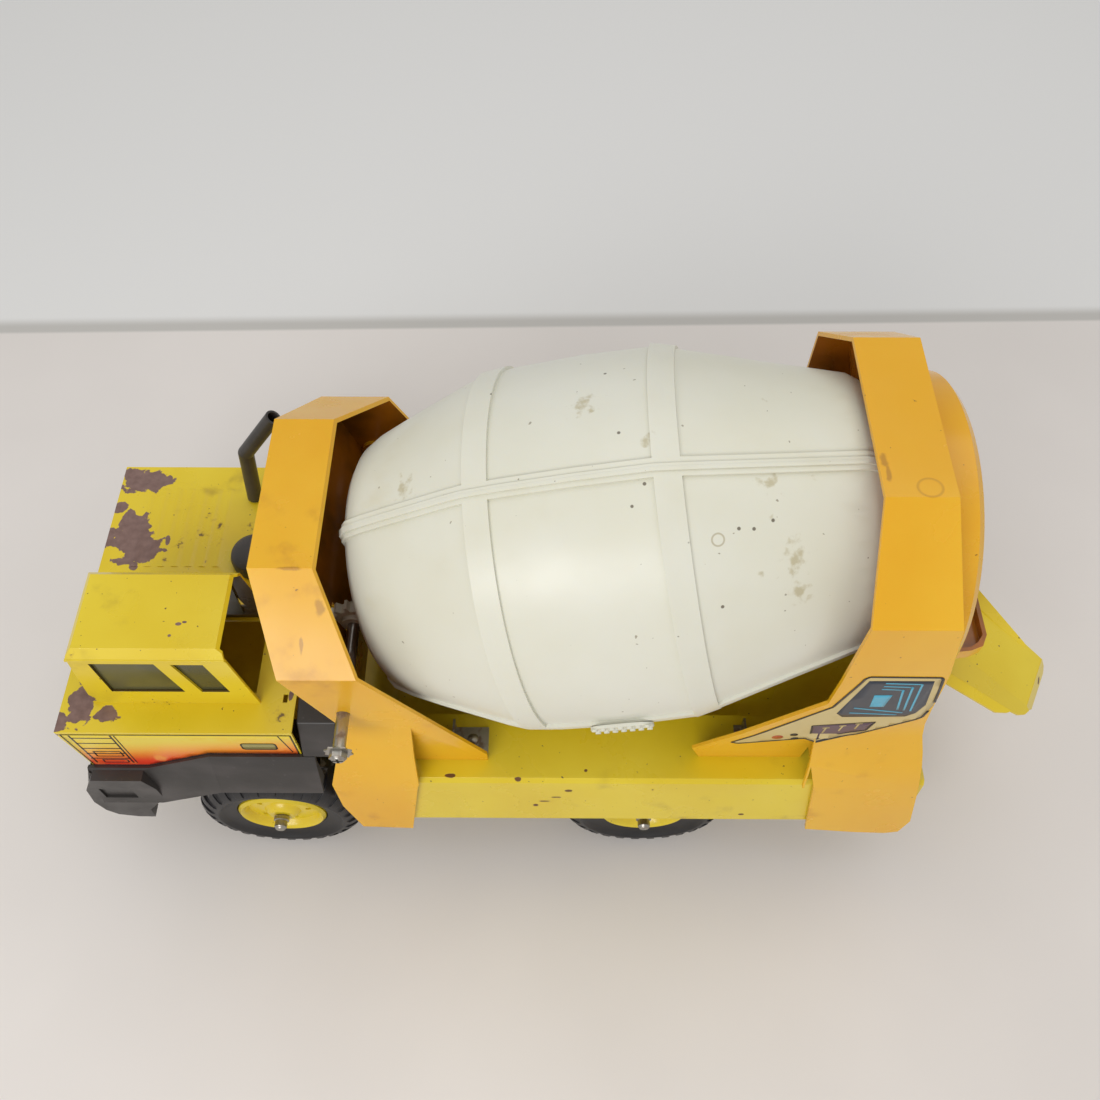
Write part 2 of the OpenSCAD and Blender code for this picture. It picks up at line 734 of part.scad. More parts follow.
// Oval cover on the rib below the left side, with a ring of studs
module drum_hatch() {
    color(drum_white) in_drum_frame() rotate([0, 0, seam_turn]) translate([0, -hatch_r, hatch_t])
        rotate([90, 0, 0]) {
            linear_extrude(1.5) union() {
                square([13, 16], center = true);
                for (v = [-8, 8]) translate([0, v]) circle(r = 6.5);
            }
            for (i = [-3 : 3], u = [-4.6, 4.6]) translate([u, i * 4, 1.5]) cylinder(h = 1, r = 1.3, $fn = 24);
        }
}

module drum_spindle() {
    color(bare_steel) in_drum_frame() {
        translate([0, 0, -82.5]) cylinder(h = 82.5 + front_face_t + 3, r = 6);
        translate([0, 0, front_face_t + drum_wall]) cylinder(h = 2, r = 12);
    }
}

module crown_gear() {
    base_t = pitch_t + tooth_rise + 0.6;
    color(nylon) in_drum_frame() {
        translate([0, 0, base_t]) difference() {
            cylinder(h = front_face_t - base_t, r = crown_r + 4.5);
            translate([0, 0, -1]) cylinder(h = 10, r = crown_r - 4.5);
        }
        for (i = [0 : crown_teeth - 1]) rotate([0, 0, 270 + (i + 0.5) * 360 / crown_teeth])
            translate([crown_r - 3.6, 0, base_t]) rotate([0, 90, 0]) linear_extrude(7.2)
                polygon([[-0.5, -1.25], [-0.5, 1.25], [2.9, 0.75], [2.9, -0.75]]);
    }
}

// Ring clipped round the neck behind the bearing
module drum_neck_ring() {
    color(nylon) in_drum_frame() translate([0, 0, bearing_t + 5.4]) difference() {
        cylinder(h = 2.2, r = neck_r + 3.4);
        translate([0, 0, -1]) cylinder(h = 6, r = neck_r);
    }
}

// ---------------------------------------------------------------- crank

module crank_frame() {
    translate([crank_x, 0, crank_z]) children();
}

module crank_rod() {
    color(bare_steel) crank_frame() translate([0, -rod_reach, 0]) rotate([-90, 0, 0])
        cylinder(h = rod_reach + crank_arm_y + 4, d = rod_d);
}

module crank_pinion() {
    color(nylon) crank_frame() translate([0, -crown_r, 0]) rotate([90, 0, 0]) rotate([0, 0, drum_tilt])
        difference() {
            union() {
                cylinder(h = 5, r = pinion_r - 1.9, center = true);
                translate([0, 0, -5]) cylinder(h = 10, r = 6);
                for (i = [0 : pinion_teeth - 1]) rotate([0, 0, i * 360 / pinion_teeth])
                    translate([0, 0, -2.5]) linear_extrude(5)
                        polygon([[pinion_r - 2.6, -1.25], [pinion_r + tooth_rise, -0.7],
                            [pinion_r + tooth_rise, 0.7], [pinion_r - 2.6, 1.25]]);
            }
            cylinder(h = 30, d = rod_d, center = true);
        }
}

module crank_washer() {
    color(bare_steel) crank_frame() translate([0, -rod_reach, 0]) rotate([90, 0, 0])
        cylinder(h = 1.6, r = 6.8);
}

module crank_screw() {
    color(bare_steel) crank_frame() translate([0, -rod_reach - 1.6, 0]) rotate([90, 0, 0]) difference() {
        union() {
            cylinder(h = 2.8, r = 4.2, $fn = 6);
            translate([0, 0, 2.8]) cylinder(h = 1.1, r1 = 3.6, r2 = 2.6, $fn = 48);
        }
        for (a = [0, 90]) rotate([0, 0, a]) translate([0, 0, 4]) cube([1.2, 5, 3], center = true);
    }
}

// Children lie in the plane of the crank arm, with local +X along the arm and +Z outwards
module crank_arm_frame() {
    crank_frame() translate([0, crank_arm_y, 0]) rotate([0, 180 - crank_arm_turn, 0]) rotate([90, 0, 180]) children();
}

module crank_arm() {
    color(dark_plastic) crank_arm_frame() difference() {
        linear_extrude(4) union() {
            circle(r = 7.5);
            translate([crank_arm_len, 0]) circle(r = 5.5);
            polygon([[0, -6.5], [crank_arm_len, -4.6], [crank_arm_len, 4.6], [0, 6.5]]);
        }
        translate([0, 0, -1]) cylinder(h = 12, d = rod_d);
    }
}

module crank_knob() {
    color(dark_plastic) crank_arm_frame() translate([crank_arm_len, 0, 4]) rotate_extrude()
        polygon([[0, 0], [5, 0], [6.4, 2.4], [6.4, 5.6], [5, 7.9], [0, 7.9]]);
}

// ---------------------------------------------------------------- wheels

function track(x) = x == front_axle_x ? track_half : rear_track_half;

module axle(x) {
    color(bare_steel) translate([x, 0, axle_z]) rotate([90, 0, 0])
        cylinder(h = 2 * (track(x) + 20), d = axle_d, center = true);
}

module axle_front() { axle(front_axle_x); }
module axle_rear() { axle(rear_axle_x); }

module axle_caps() {
    color(bare_steel) for (x = [front_axle_x, rear_axle_x]) left_and_right()
        translate([x, -track(x) - 14.6, axle_z]) rotate([90, 0, 0]) difference() {
            rotate_extrude() polygon([[0, 0], [4.2, 0], [4.2, 2], [3.4, 2.4], [3.4, 5.6], [2.4, 7], [0, 7.4]]);
            translate([0, 0, -1]) cylinder(h = 6.4, d = axle_d);
        }
}

// Wheel frame: local +Z points out of the left side of the truck
module wheel_frame(x, left) {
    translate([x, left ? -track(x) : track(x), axle_z]) rotate([left ? 90 : -90, 0, 0]) children();
}

module tyre() {
    h = tyre_w / 2;
    lugs = 26;
    color("#2B2B2D") difference() {
        rotate_extrude() polygon([
            [hub_r, -h + 6], [hub_r + 3, -h + 2], [wheel_r - 12, -h], [wheel_r - 6, -h + 0.3], [wheel_r - 1.6, -h + 2.2],
            [wheel_r, -h + 7], [wheel_r, h - 7], [wheel_r - 1.6, h - 2.2], [wheel_r - 6, h - 0.3],
            [wheel_r - 12, h], [hub_r + 3, h - 2], [hub_r, h - 6]
        ]);
        // Grooves between the tread lugs, offset from side to side
        for (i = [0 : lugs - 1], s = [-1, 1]) rotate([0, 0, (i + (s > 0 ? 0.5 : 0)) * 360 / lugs])
            translate([wheel_r - 2.6, -1.7, s > 0 ? 2 : -h - 1]) cube([5, 3.4, h - 1]);
    }
}

module hub() {
    h = tyre_w / 2;
    color(steel_yellow) difference() {
        rotate_extrude() polygon([
            [0, -h + 8], [hub_r, -h + 7], [hub_r, h - 4], [hub_r - 1.6, h - 2.4], [hub_r - 3.2, h - 3.6],
            [hub_r - 5, h - 7], [10, h - 6], [8.4, h - 3.8], [6.6, h - 2.4], [0, h - 2.4]
        ]);
        cylinder(h = 60, r = axle_d / 2 + axle_gap, center = true);
        for (i = [0 : 4]) rotate([0, 0, i * 72]) translate([14, 0, h - 10]) cylinder(h = 6, r = 1.6, $fn = 24);
    }
}

module tyre_front_left() { wheel_frame(front_axle_x, true) tyre(); }
module tyre_front_right() { wheel_frame(front_axle_x, false) tyre(); }
module tyre_rear_left() { wheel_frame(rear_axle_x, true) tyre(); }
module tyre_rear_right() { wheel_frame(rear_axle_x, false) tyre(); }
module hub_front_left() { wheel_frame(front_axle_x, true) hub(); }
module hub_front_right() { wheel_frame(front_axle_x, false) hub(); }
module hub_rear_left() { wheel_frame(rear_axle_x, true) hub(); }
module hub_rear_right() { wheel_frame(rear_axle_x, false) hub(); }

// ---------------------------------------------------------------- assembly

// Move the truck so that the origin is under its middle
module place() {
    translate([middle_x, 0, 0]) children();
}

place() chassis_pan();
place() axle_bracket_front();
place() axle_bracket_rear();
place() chassis_rivets();
place() cab_shell();
place() cabin_shell();
place() cabin_glazing();
place() bumper_fenders();
place() side_tank_left();
place() side_tank_right();
place() exhaust_stack();
place() air_cleaner();
place() cab_rivets();
place() front_drum_support();
place() rear_drum_support();
place() bearing_post();
place() rear_bearing_plate();
place() deck_clips();
place() support_screws();
place() chute_mount();
place() chute_pivot_rivet();
place() chute_bracket();
place() chute_trough();
place() chute_rivets();
place() drum_half_left();
place() drum_half_right();
place() drum_hatch();
place() drum_spindle();
place() crown_gear();
place() drum_neck_ring();
place() crank_rod();
place() crank_pinion();
place() crank_washer();
place() crank_screw();
place() crank_arm();
place() crank_knob();
place() axle_front();
place() axle_rear();
place() axle_caps();
place() tyre_front_left();
place() tyre_front_right();
place() tyre_rear_left();
place() tyre_rear_right();
place() hub_front_left();
place() hub_front_right();
place() hub_rear_left();
place() hub_rear_right();
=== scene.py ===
# %% [markdown]
# # A toy cement mixer truck
# The real toy is a mix of pressed and enamelled steel (deck, cab, chute, wheel discs),
# thick moulded plastic (the two drum supports, the bumper, the tyres) and a blow-moulded drum.
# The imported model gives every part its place, so this script only gives each part its soft
# edges, its finish and its printed stickers. Most measures are written in millimetres and
# turned into metres with one factor, because Blender works in metres.

# %% Load the frame
import math
import json
import bpy
import bmesh
from mathutils import Vector, Matrix
from mathutils.bvhtree import BVHTree

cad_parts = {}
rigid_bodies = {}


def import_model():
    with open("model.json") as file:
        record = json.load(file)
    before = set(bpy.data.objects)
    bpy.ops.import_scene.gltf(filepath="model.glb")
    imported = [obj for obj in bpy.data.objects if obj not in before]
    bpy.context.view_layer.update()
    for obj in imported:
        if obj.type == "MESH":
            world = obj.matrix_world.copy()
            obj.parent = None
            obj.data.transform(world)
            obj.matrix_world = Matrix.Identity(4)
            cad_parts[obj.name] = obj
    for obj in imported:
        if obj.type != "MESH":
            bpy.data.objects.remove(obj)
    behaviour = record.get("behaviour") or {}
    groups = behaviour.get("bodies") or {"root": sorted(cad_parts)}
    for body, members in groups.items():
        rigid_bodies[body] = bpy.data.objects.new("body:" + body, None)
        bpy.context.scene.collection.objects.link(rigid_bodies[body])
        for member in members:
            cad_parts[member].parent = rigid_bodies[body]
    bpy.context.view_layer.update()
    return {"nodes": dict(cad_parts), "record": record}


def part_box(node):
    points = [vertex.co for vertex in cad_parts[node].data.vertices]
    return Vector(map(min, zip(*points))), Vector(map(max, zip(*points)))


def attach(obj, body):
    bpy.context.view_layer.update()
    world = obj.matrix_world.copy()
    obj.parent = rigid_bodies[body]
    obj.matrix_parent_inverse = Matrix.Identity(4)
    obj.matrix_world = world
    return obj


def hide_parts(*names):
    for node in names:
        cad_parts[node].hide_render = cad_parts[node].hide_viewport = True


for leftover in list(bpy.data.objects):
    bpy.data.objects.remove(leftover)

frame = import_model()
MM = 0.001
print("nodes in the frame:", len(frame["nodes"]))

# %% [markdown]
# ## Camera
# The toy is seen from above its left side, with a fairly wide lens close to it. A long lens
# further away would flatten the drum and hide the cab's side, so the distance matters as
# much as the angle. The camera looks down by 57.5 degrees.

# %% Place the camera
eye = bpy.data.cameras.new("camera")
eye.lens = 34.364
eye.sensor_width = 36.0
eye.clip_start = 0.02
camera = bpy.data.objects.new("camera", eye)
camera.location = (-0.008, -0.2748, 0.6174)
camera.rotation_euler = (math.radians(32.5), 0.0, math.radians(0.3))
bpy.context.scene.collection.objects.link(camera)
bpy.context.scene.camera = camera
print("camera at", [round(v, 3) for v in camera.location])

# %% [markdown]
# ## Colours
# Shaders work with linear light, while a paint colour is easiest to write as the usual
# 0 to 255 values. This helper turns one into the other, so that every finish below can be
# read as a plain colour.

# %% Turn an everyday colour into linear light
def colour(red, green, blue):
    out = []
    for value in (red, green, blue):
        v = value / 255.0
        out.append(v / 12.92 if v <= 0.04045 else ((v + 0.055) / 1.055) ** 2.4)
    return (*out, 1.0)


print("enamel yellow in linear light:", [round(v, 3) for v in colour(224, 200, 44)])

# %% [markdown]
# ## Small tools for shader nodes
# A procedural finish is a chain of a few kinds of node: noise for variation, a ramp to pick
# how much of the noise counts, a mix to lay one colour over another, and a bump. Each tool
# adds one such step and hands back its output. All noise reads Object coordinates: every
# piece sits at the origin, so a pattern keeps its true size and stays put when parts move.
# The inner side of a hollow part is where its surface faces the middle of the hollow. Its colour is painted shade:
# the insides are made darker and browner than the outsides to stand in for the shade in the hollows.

# %% Shader tools
def new_finish(name):
    material = bpy.data.materials.new(name)
    material.use_nodes = True
    tree = material.node_tree
    shader = tree.nodes["Principled BSDF"]
    place = tree.nodes.new("ShaderNodeTexCoord").outputs["Object"]
    return material, tree, shader, place


def noise(tree, place, scale, detail=4.0, stretch=None):
    node = tree.nodes.new("ShaderNodeTexNoise")
    node.inputs["Scale"].default_value = scale
    node.inputs["Detail"].default_value = detail
    if stretch:
        mapping = tree.nodes.new("ShaderNodeMapping")
        mapping.inputs["Scale"].default_value = stretch
        tree.links.new(place, mapping.inputs["Vector"])
        place = mapping.outputs["Vector"]
    tree.links.new(place, node.inputs["Vector"])
    return node.outputs["Fac"]


def between(tree, value, low, high, top=1.0):
    node = tree.nodes.new("ShaderNodeMapRange")
    node.interpolation_type = "SMOOTHSTEP"
    node.inputs["From Min"].default_value = low
    node.inputs["From Max"].default_value = high
    node.inputs["To Max"].default_value = top
    tree.links.new(value, node.inputs["Value"])
    return node.outputs["Result"]


def sums(tree, how, one, two):
    node = tree.nodes.new("ShaderNodeMath")
    node.operation = how
    for socket, value in zip(node.inputs, (one, two)):
        if isinstance(value, (int, float)):
            socket.default_value = value
        else:
            tree.links.new(value, socket)
    return node.outputs[0]


def layer(tree, amount, under, over):
    node = tree.nodes.new("ShaderNodeMix")
    node.data_type = "RGBA"
    for socket, value in ((node.inputs[6], under), (node.inputs[7], over)):
        if isinstance(value, tuple):
            socket.default_value = value
        else:
            tree.links.new(value, socket)
    tree.links.new(amount, node.inputs[0])
    return node.outputs[2]


def bumps(tree, shader, height, strength, distance_mm):
    node = tree.nodes.new("ShaderNodeBump")
    node.inputs["Strength"].default_value = strength
    node.inputs["Distance"].default_value = distance_mm * MM
    tree.links.new(height, node.inputs["Height"])
    tree.links.new(node.outputs["Normal"], shader.inputs["Normal"])


# Mask of the inner side of a hollow, where painted shade goes
def inner_side(tree, place, centre):
    away = tree.nodes.new("ShaderNodeVectorMath")
    away.operation = "SUBTRACT"
    away.inputs[1].default_value = [v * MM for v in centre]
    tree.links.new(place, away.inputs[0])
    facing = tree.nodes.new("ShaderNodeVectorMath")
    facing.operation = "DOT_PRODUCT"
    tree.links.new(away.outputs[0], facing.inputs[0])
    tree.links.new(place.node.outputs["Normal"], facing.inputs[1])
    return between(tree, facing.outputs["Value"], 0.0, -2 * MM)


print("shader tools are ready")

# %% [markdown]
# Chips, rust spots and stains sit at chosen places. A spot is a stretched ball: the distance
# from its middle, divided by its half sizes, is 0 inside and 1 at its edge. The largest of
# all balls is one mask, and noise added to it before the cut gives each spot a torn outline.

# %% A mask made of spots
def spots(tree, place, places):
    best = None
    for x, y, z, across, along, depth in places:
        away = tree.nodes.new("ShaderNodeVectorMath")
        away.operation = "SUBTRACT"
        away.inputs[1].default_value = (x * MM, y * MM, z * MM)
        tree.links.new(place, away.inputs[0])
        scaled = tree.nodes.new("ShaderNodeVectorMath")
        scaled.operation = "DIVIDE"
        scaled.inputs[1].default_value = (across * MM, along * MM, depth * MM)
        tree.links.new(away.outputs[0], scaled.inputs[0])
        length = tree.nodes.new("ShaderNodeVectorMath")
        length.operation = "LENGTH"
        tree.links.new(scaled.outputs[0], length.inputs[0])
        inside = sums(tree, "SUBTRACT", 1.0, length.outputs["Value"])
        best = inside if best is None else sums(tree, "MAXIMUM", best, inside)
    return best


print("spot mask is ready")

# %% [markdown]
# ## Finishes
# ### Enamelled steel
# The paint is a glossy lemon yellow. It has chipped down to a mauve-brown primer at the
# corners of the hood and has fine dark specks. The primer lies lower than the paint, which
# the bump shows, and it is dull.

# %% Yellow enamel with chips
CHIPS = [
    (-235, 70, 146, 17, 9.5, 16), (-245, 52, 146, 5.5, 4, 10), (-234, 33, 146, 12, 17, 14),
    (-226, 25, 146, 12, 9, 12), (-238, 41, 146, 6, 10, 12), (-246, 32, 146, 3.4, 6.5, 8),
    (-214, 30, 146, 1.6, 3.4, 4), (-237, -64, 146, 8, 15, 10), (-246, -74, 146, 5, 6, 12),
    (-224, -70, 146, 7, 4.5, 8), (-229, 14, 146, 2.6, 3, 5),
    (-180, -45, 192, 1.6, 0.9, 3), (-183, -51, 192, 0.9, 0.8, 3), (-177.5, -44, 192, 1.2, 0.7, 3),
    (-136, -60, 146, 1.6, 3.4, 4),
]
DIRT = [
    (-193, 46, 146, 7, 6, 4), (-187, 40, 146, 6, 5, 4), (-192, 17, 146, 3, 5, 4), (-207, 28, 146, 5, 7, 4),
    (-186, 29, 146, 4, 6, 4), (-214, 18, 146, 4, 4, 4), (-198, 34, 146, 9, 6, 4), (-172, 40, 146, 7, 9, 4),
    (-228, -14, 192, 9, 2.5, 4), (-190, -15.5, 192, 14, 1.6, 3), (-226, -60, 190, 4, 2.5, 4),
    (-160, -20, 191, 4, 8, 4), (-149, -60, 147, 14, 2.2, 2), (-200, -64, 147, 30, 1.4, 1.6),
    (-140, -70, 146, 7, 8, 3), (-151, -18, 150, 4, 4, 8),
]
# Middle of the hollow inside the cabin, whose inner side gets painted shade
CABIN_HOLLOW = (-188, -38, 165)
RUST = [
    (-25.5, -85.5, 102.6, 2.2, 1.4, 3), (9.3, -81, 103, 1.2, 1, 3), (-16.5, -89.1, 74, 1.6, 2, 1.6),
    (-6, -88.2, 84, 3.4, 2, 0.9), (-11, -88.6, 79, 3.6, 2, 0.9), (0.5, -87.6, 92, 2.4, 2, 1.5),
    (44, -87.6, 93.5, 1, 1, 1), (94, -90, 63.6, 1.4, 1.4, 1), (-60, -84, 103, 3, 1.2, 2),
    (236, -40, 126, 3, 3, 5), (241, -52, 118, 2.6, 3, 3), (249, -36, 114, 1.6, 6, 3),
]


def make_enamel(name, hollow=None):
    material, tree, shader, place = new_finish(name)
    shade = layer(tree, between(tree, noise(tree, place, 14), 0.35, 0.7),
                  colour(222, 194, 26), colour(229, 205, 46))
    grime = sums(tree, "MULTIPLY", between(tree, noise(tree, place, 46, 6), 0.56, 0.74, 0.55),
                 between(tree, noise(tree, place, 9), 0.45, 0.62))
    shade = layer(tree, grime, shade, colour(150, 122, 34))
    soot = sums(tree, "ADD", spots(tree, place, DIRT), sums(tree, "MULTIPLY", noise(tree, place, 360, 4), 2.6))
    shade = layer(tree, between(tree, soot, 1.85, 2.3, 0.32), shade, colour(168, 128, 34))
    shade = layer(tree, between(tree, soot, 2.22, 2.42, 0.85), shade, colour(86, 62, 30))
    # Painted shade: the inner side of the hollow is coloured dark olive, standing in for the shade inside the cabin
    if hollow:
        shade = layer(tree, inner_side(tree, place, hollow), shade, colour(84, 66, 26))
    specks = between(tree, noise(tree, place, 420, 2), 0.735, 0.765)
    shade = layer(tree, specks, shade, colour(92, 66, 36))
    torn = sums(tree, "MULTIPLY", sums(tree, "SUBTRACT", noise(tree, place, 150, 5), 0.5), 1.7)
    chip = between(tree, sums(tree, "ADD", spots(tree, place, CHIPS), torn), 0.10, 0.16)
    primer = layer(tree, noise(tree, place, 260, 5), colour(92, 66, 60), colour(146, 118, 110))
    shade = layer(tree, chip, shade, primer)
    rust = between(tree, sums(tree, "ADD", spots(tree, place, RUST), torn), 0.05, 0.22)
    shade = layer(tree, rust, shade, colour(104, 66, 28))
    tree.links.new(shade, shader.inputs["Base Color"])
    worn = sums(tree, "MAXIMUM", chip, rust)
    smear = between(tree, noise(tree, place, 30, 5), 0.4, 0.75, 0.14)
    rough = sums(tree, "ADD", sums(tree, "MULTIPLY", worn, 0.42), sums(tree, "ADD", smear, 0.27))
    tree.links.new(rough, shader.inputs["Roughness"])
    dents = sums(tree, "SUBTRACT", sums(tree, "MULTIPLY", noise(tree, place, 24, 3), 0.35), worn)
    bumps(tree, shader, dents, 0.5, 0.35)
    shader.inputs["Coat Weight"].default_value = 0.25
    shader.inputs["Coat Roughness"].default_value = 0.12
    return material


enamel = make_enamel("yellow_enamel")
cabin_enamel = make_enamel("cabin_enamel", CABIN_HOLLOW)
print("enamel has", len(CHIPS), "chips,", len(DIRT), "dirty spots and", len(RUST), "rust marks")

# %% [markdown]
# ### Moulded plastics
# The supports are a warm orange-yellow plastic that lets a little light in, which a little subsurface light gives.
# Their hollow insides are painted shade: a dark orange-brown colour on the inner side stands in for the shade in the
# hollows. The drum is off-white with tea-coloured stains, and the bumper, exhaust and tanks are dark brown-grey with
# a dusty bloom. All three have a faint flow pattern and a fine skin.

# %% Orange-yellow support plastic
def make_support_plastic(name, hollow):
    material, tree, shader, place = new_finish(name)
    flow = noise(tree, place, 11, 5, (1.0, 1.0, 0.5))
    shade = layer(tree, between(tree, flow, 0.35, 0.7), colour(229, 170, 24), colour(236, 183, 40))
    dirt = sums(tree, "MULTIPLY", between(tree, noise(tree, place, 60, 6), 0.52, 0.8, 0.5),
                between(tree, noise(tree, place, 13), 0.5, 0.64))
    shade = layer(tree, dirt, shade, colour(168, 104, 30))
    ring = spots(tree, place, [(137, -37, 290, 5.6, 5.0, 12)])
    ring = sums(tree, "MULTIPLY", between(tree, ring, 0.0, 0.10),
                sums(tree, "SUBTRACT", 1.0, between(tree, ring, 0.16, 0.30)))
    stain = spots(tree, place, [(121, -24, 290, 2.6, 5, 5), (122, -30, 290, 1.6, 6, 4), (-116, -68, 215, 1.2, 7, 6),
                                (-108, -54, 225, 3, 8, 5), (-121, -41, 235, 10, 1.4, 3)])
    torn = sums(tree, "SUBTRACT", noise(tree, place, 190, 5), 0.5)
    stain = between(tree, sums(tree, "ADD", stain, sums(tree, "MULTIPLY", torn, 1.6)), 0.15, 0.6, 0.55)
    shade = layer(tree, sums(tree, "MAXIMUM", sums(tree, "MULTIPLY", ring, 0.35), stain), shade, colour(150, 96, 30))
    specks = between(tree, noise(tree, place, 380, 2), 0.75, 0.78, 0.7)
    shade = layer(tree, specks, shade, colour(120, 70, 24))
    # Painted shade: the inner side of the hollow gets a dark orange-brown colour, standing in for the shade inside
    # the support
    dust_and_inner_shade = layer(tree, between(tree, noise(tree, place, 38, 5), 0.4, 0.7),
                  colour(160, 88, 14), colour(112, 62, 18))
    shade = layer(tree, sums(tree, "MULTIPLY", inner_side(tree, place, hollow), 0.92), shade, dust_and_inner_shade)
    tree.links.new(shade, shader.inputs["Base Color"])
    rough = sums(tree, "ADD", between(tree, noise(tree, place, 34, 5), 0.3, 0.8, 0.14), 0.18)
    tree.links.new(rough, shader.inputs["Roughness"])
    bumps(tree, shader, noise(tree, place, 240, 3), 0.10, 0.12)
    shader.inputs["Subsurface Weight"].default_value = 0.10
    shader.inputs["Subsurface Radius"].default_value = (1.0, 0.45, 0.08)
    shader.inputs["Subsurface Scale"].default_value = 2.0 * MM
    return material


front_plastic = make_support_plastic("front_support_plastic", (-85, 0, 140))
support_plastic = make_support_plastic("rear_support_plastic", (135, 0, 190))
print("support plastic is ready")

# %% Off-white drum plastic
STAINS = [
    (79, -41, 273, 2.6, 2.6, 2.6), (88, -52, 262, 9, 10, 10), (92, -62, 252, 7, 7, 8), (95, -24, 280, 3, 3, 3),
    (78, -28, 279, 7, 5, 5), (73, 12, 280, 14, 5, 5), (-72, -10, 250, 9, 9, 7), (112, 6, 278, 12, 5, 5),
    (4, 10, 284, 10, 9, 6), (75, -60, 260, 3, 4, 4), (30, -12, 286, 8, 5, 4),
]
DOTS = [
    (65.3, -44.8, 272.7, 0.9, 0.9, 0.9), (71.4, -44.5, 272.1, 0.9, 0.9, 0.9), (18.4, -7, 285, 1, 1, 1),
    (23, -38, 278, 0.9, 0.9, 0.9), (28, -30, 282, 0.9, 0.9, 0.9), (-35, 27, 270, 1, 1, 1),
    (45, -51, 272, 0.9, 0.9, 0.9), (60, -68, 251, 0.9, 0.9, 0.9), (112, 6, 278, 1.4, 1.1, 2),
    (79, -41, 273, 1, 1, 1), (14, 30, 279, 0.9, 0.9, 0.9), (38, -80, 229, 0.9, 0.9, 0.9),
]


def make_drum_plastic():
    material, tree, shader, place = new_finish("drum_plastic")
    flow = noise(tree, place, 9, 5)
    shade = layer(tree, between(tree, flow, 0.3, 0.75), colour(226, 226, 214), colour(219, 217, 198))
    yellowed = sums(tree, "MULTIPLY", between(tree, noise(tree, place, 34, 6), 0.50, 0.78, 0.5),
                    between(tree, noise(tree, place, 7), 0.48, 0.66))
    shade = layer(tree, yellowed, shade, colour(200, 190, 150))
    torn = sums(tree, "SUBTRACT", noise(tree, place, 240, 5), 0.5)
    stain = sums(tree, "ADD", spots(tree, place, STAINS), sums(tree, "MULTIPLY", torn, 3.2))
    stain = between(tree, stain, 0.35, 1.1, 0.55)
    shade = layer(tree, stain, shade, colour(166, 150, 96))
    dots = between(tree, spots(tree, place, DOTS), 0.0, 0.35, 0.8)
    shade = layer(tree, dots, shade, colour(74, 60, 38))
    ring = spots(tree, place, [(57, -49, 271, 3.0, 3.0, 3.0)])
    ring = sums(tree, "MULTIPLY", between(tree, ring, 0.0, 0.12),
                sums(tree, "SUBTRACT", 1.0, between(tree, ring, 0.22, 0.36)))
    shade = layer(tree, sums(tree, "MULTIPLY", ring, 0.5), shade, colour(150, 132, 80))
    specks = between(tree, noise(tree, place, 330, 1), 0.785, 0.80, 0.6)
    shade = layer(tree, specks, shade, colour(110, 94, 62))
    tree.links.new(shade, shader.inputs["Base Color"])
    rough = sums(tree, "ADD", between(tree, noise(tree, place, 26, 5), 0.3, 0.8, 0.16), 0.30)
    tree.links.new(rough, shader.inputs["Roughness"])
    skin = sums(tree, "MULTIPLY", noise(tree, place, 260, 2), 0.08)
    bumps(tree, shader, sums(tree, "ADD", noise(tree, place, 20, 3), skin), 0.35, 0.5)
    shader.inputs["Subsurface Weight"].default_value = 0.12
    shader.inputs["Subsurface Radius"].default_value = (1.0, 0.8, 0.5)
    shader.inputs["Subsurface Scale"].default_value = 2.0 * MM
    return material


drum_plastic = make_drum_plastic()
print("drum plastic has", len(STAINS), "stains and", len(DOTS), "dots")

# %% Dark plastic and black tyre plastic
def make_dark(name, base, dust_and_inner_shade, rough_low, scale):
    material, tree, shader, place = new_finish(name)
    bloom = between(tree, noise(tree, place, scale, 6, (1.0, 1.0, 2.2)), 0.42, 0.78, 0.8)
    shade = layer(tree, bloom, base, dust_and_inner_shade)
    shade = layer(tree, between(tree, noise(tree, place, 330, 3), 0.66, 0.72, 0.6), shade, dust_and_inner_shade)
    tree.links.new(shade, shader.inputs["Base Color"])
    rough = sums(tree, "ADD", between(tree, noise(tree, place, 60, 4), 0.3, 0.8, 0.2), rough_low)
    tree.links.new(rough, shader.inputs["Roughness"])
    bumps(tree, shader, noise(tree, place, 480, 3), 0.18, 0.12)
    return material


dark_plastic = make_dark("dark_plastic", colour(52, 49, 47), colour(74, 69, 68), 0.36, 26)
print("dark plastic is ready")

# %% [markdown]
# The tyres are scuffed pale where the lugs rub, so their finish adds a whitish layer that
# depends on how far a point is from the axle line. The distance is worked out from Object
# coordinates, once for the front axle and once for the rear.

# %% Tyre plastic, scuffed at the shoulder
SCUFF_FROM, SCUFF_TO = 0.0405, 0.0435


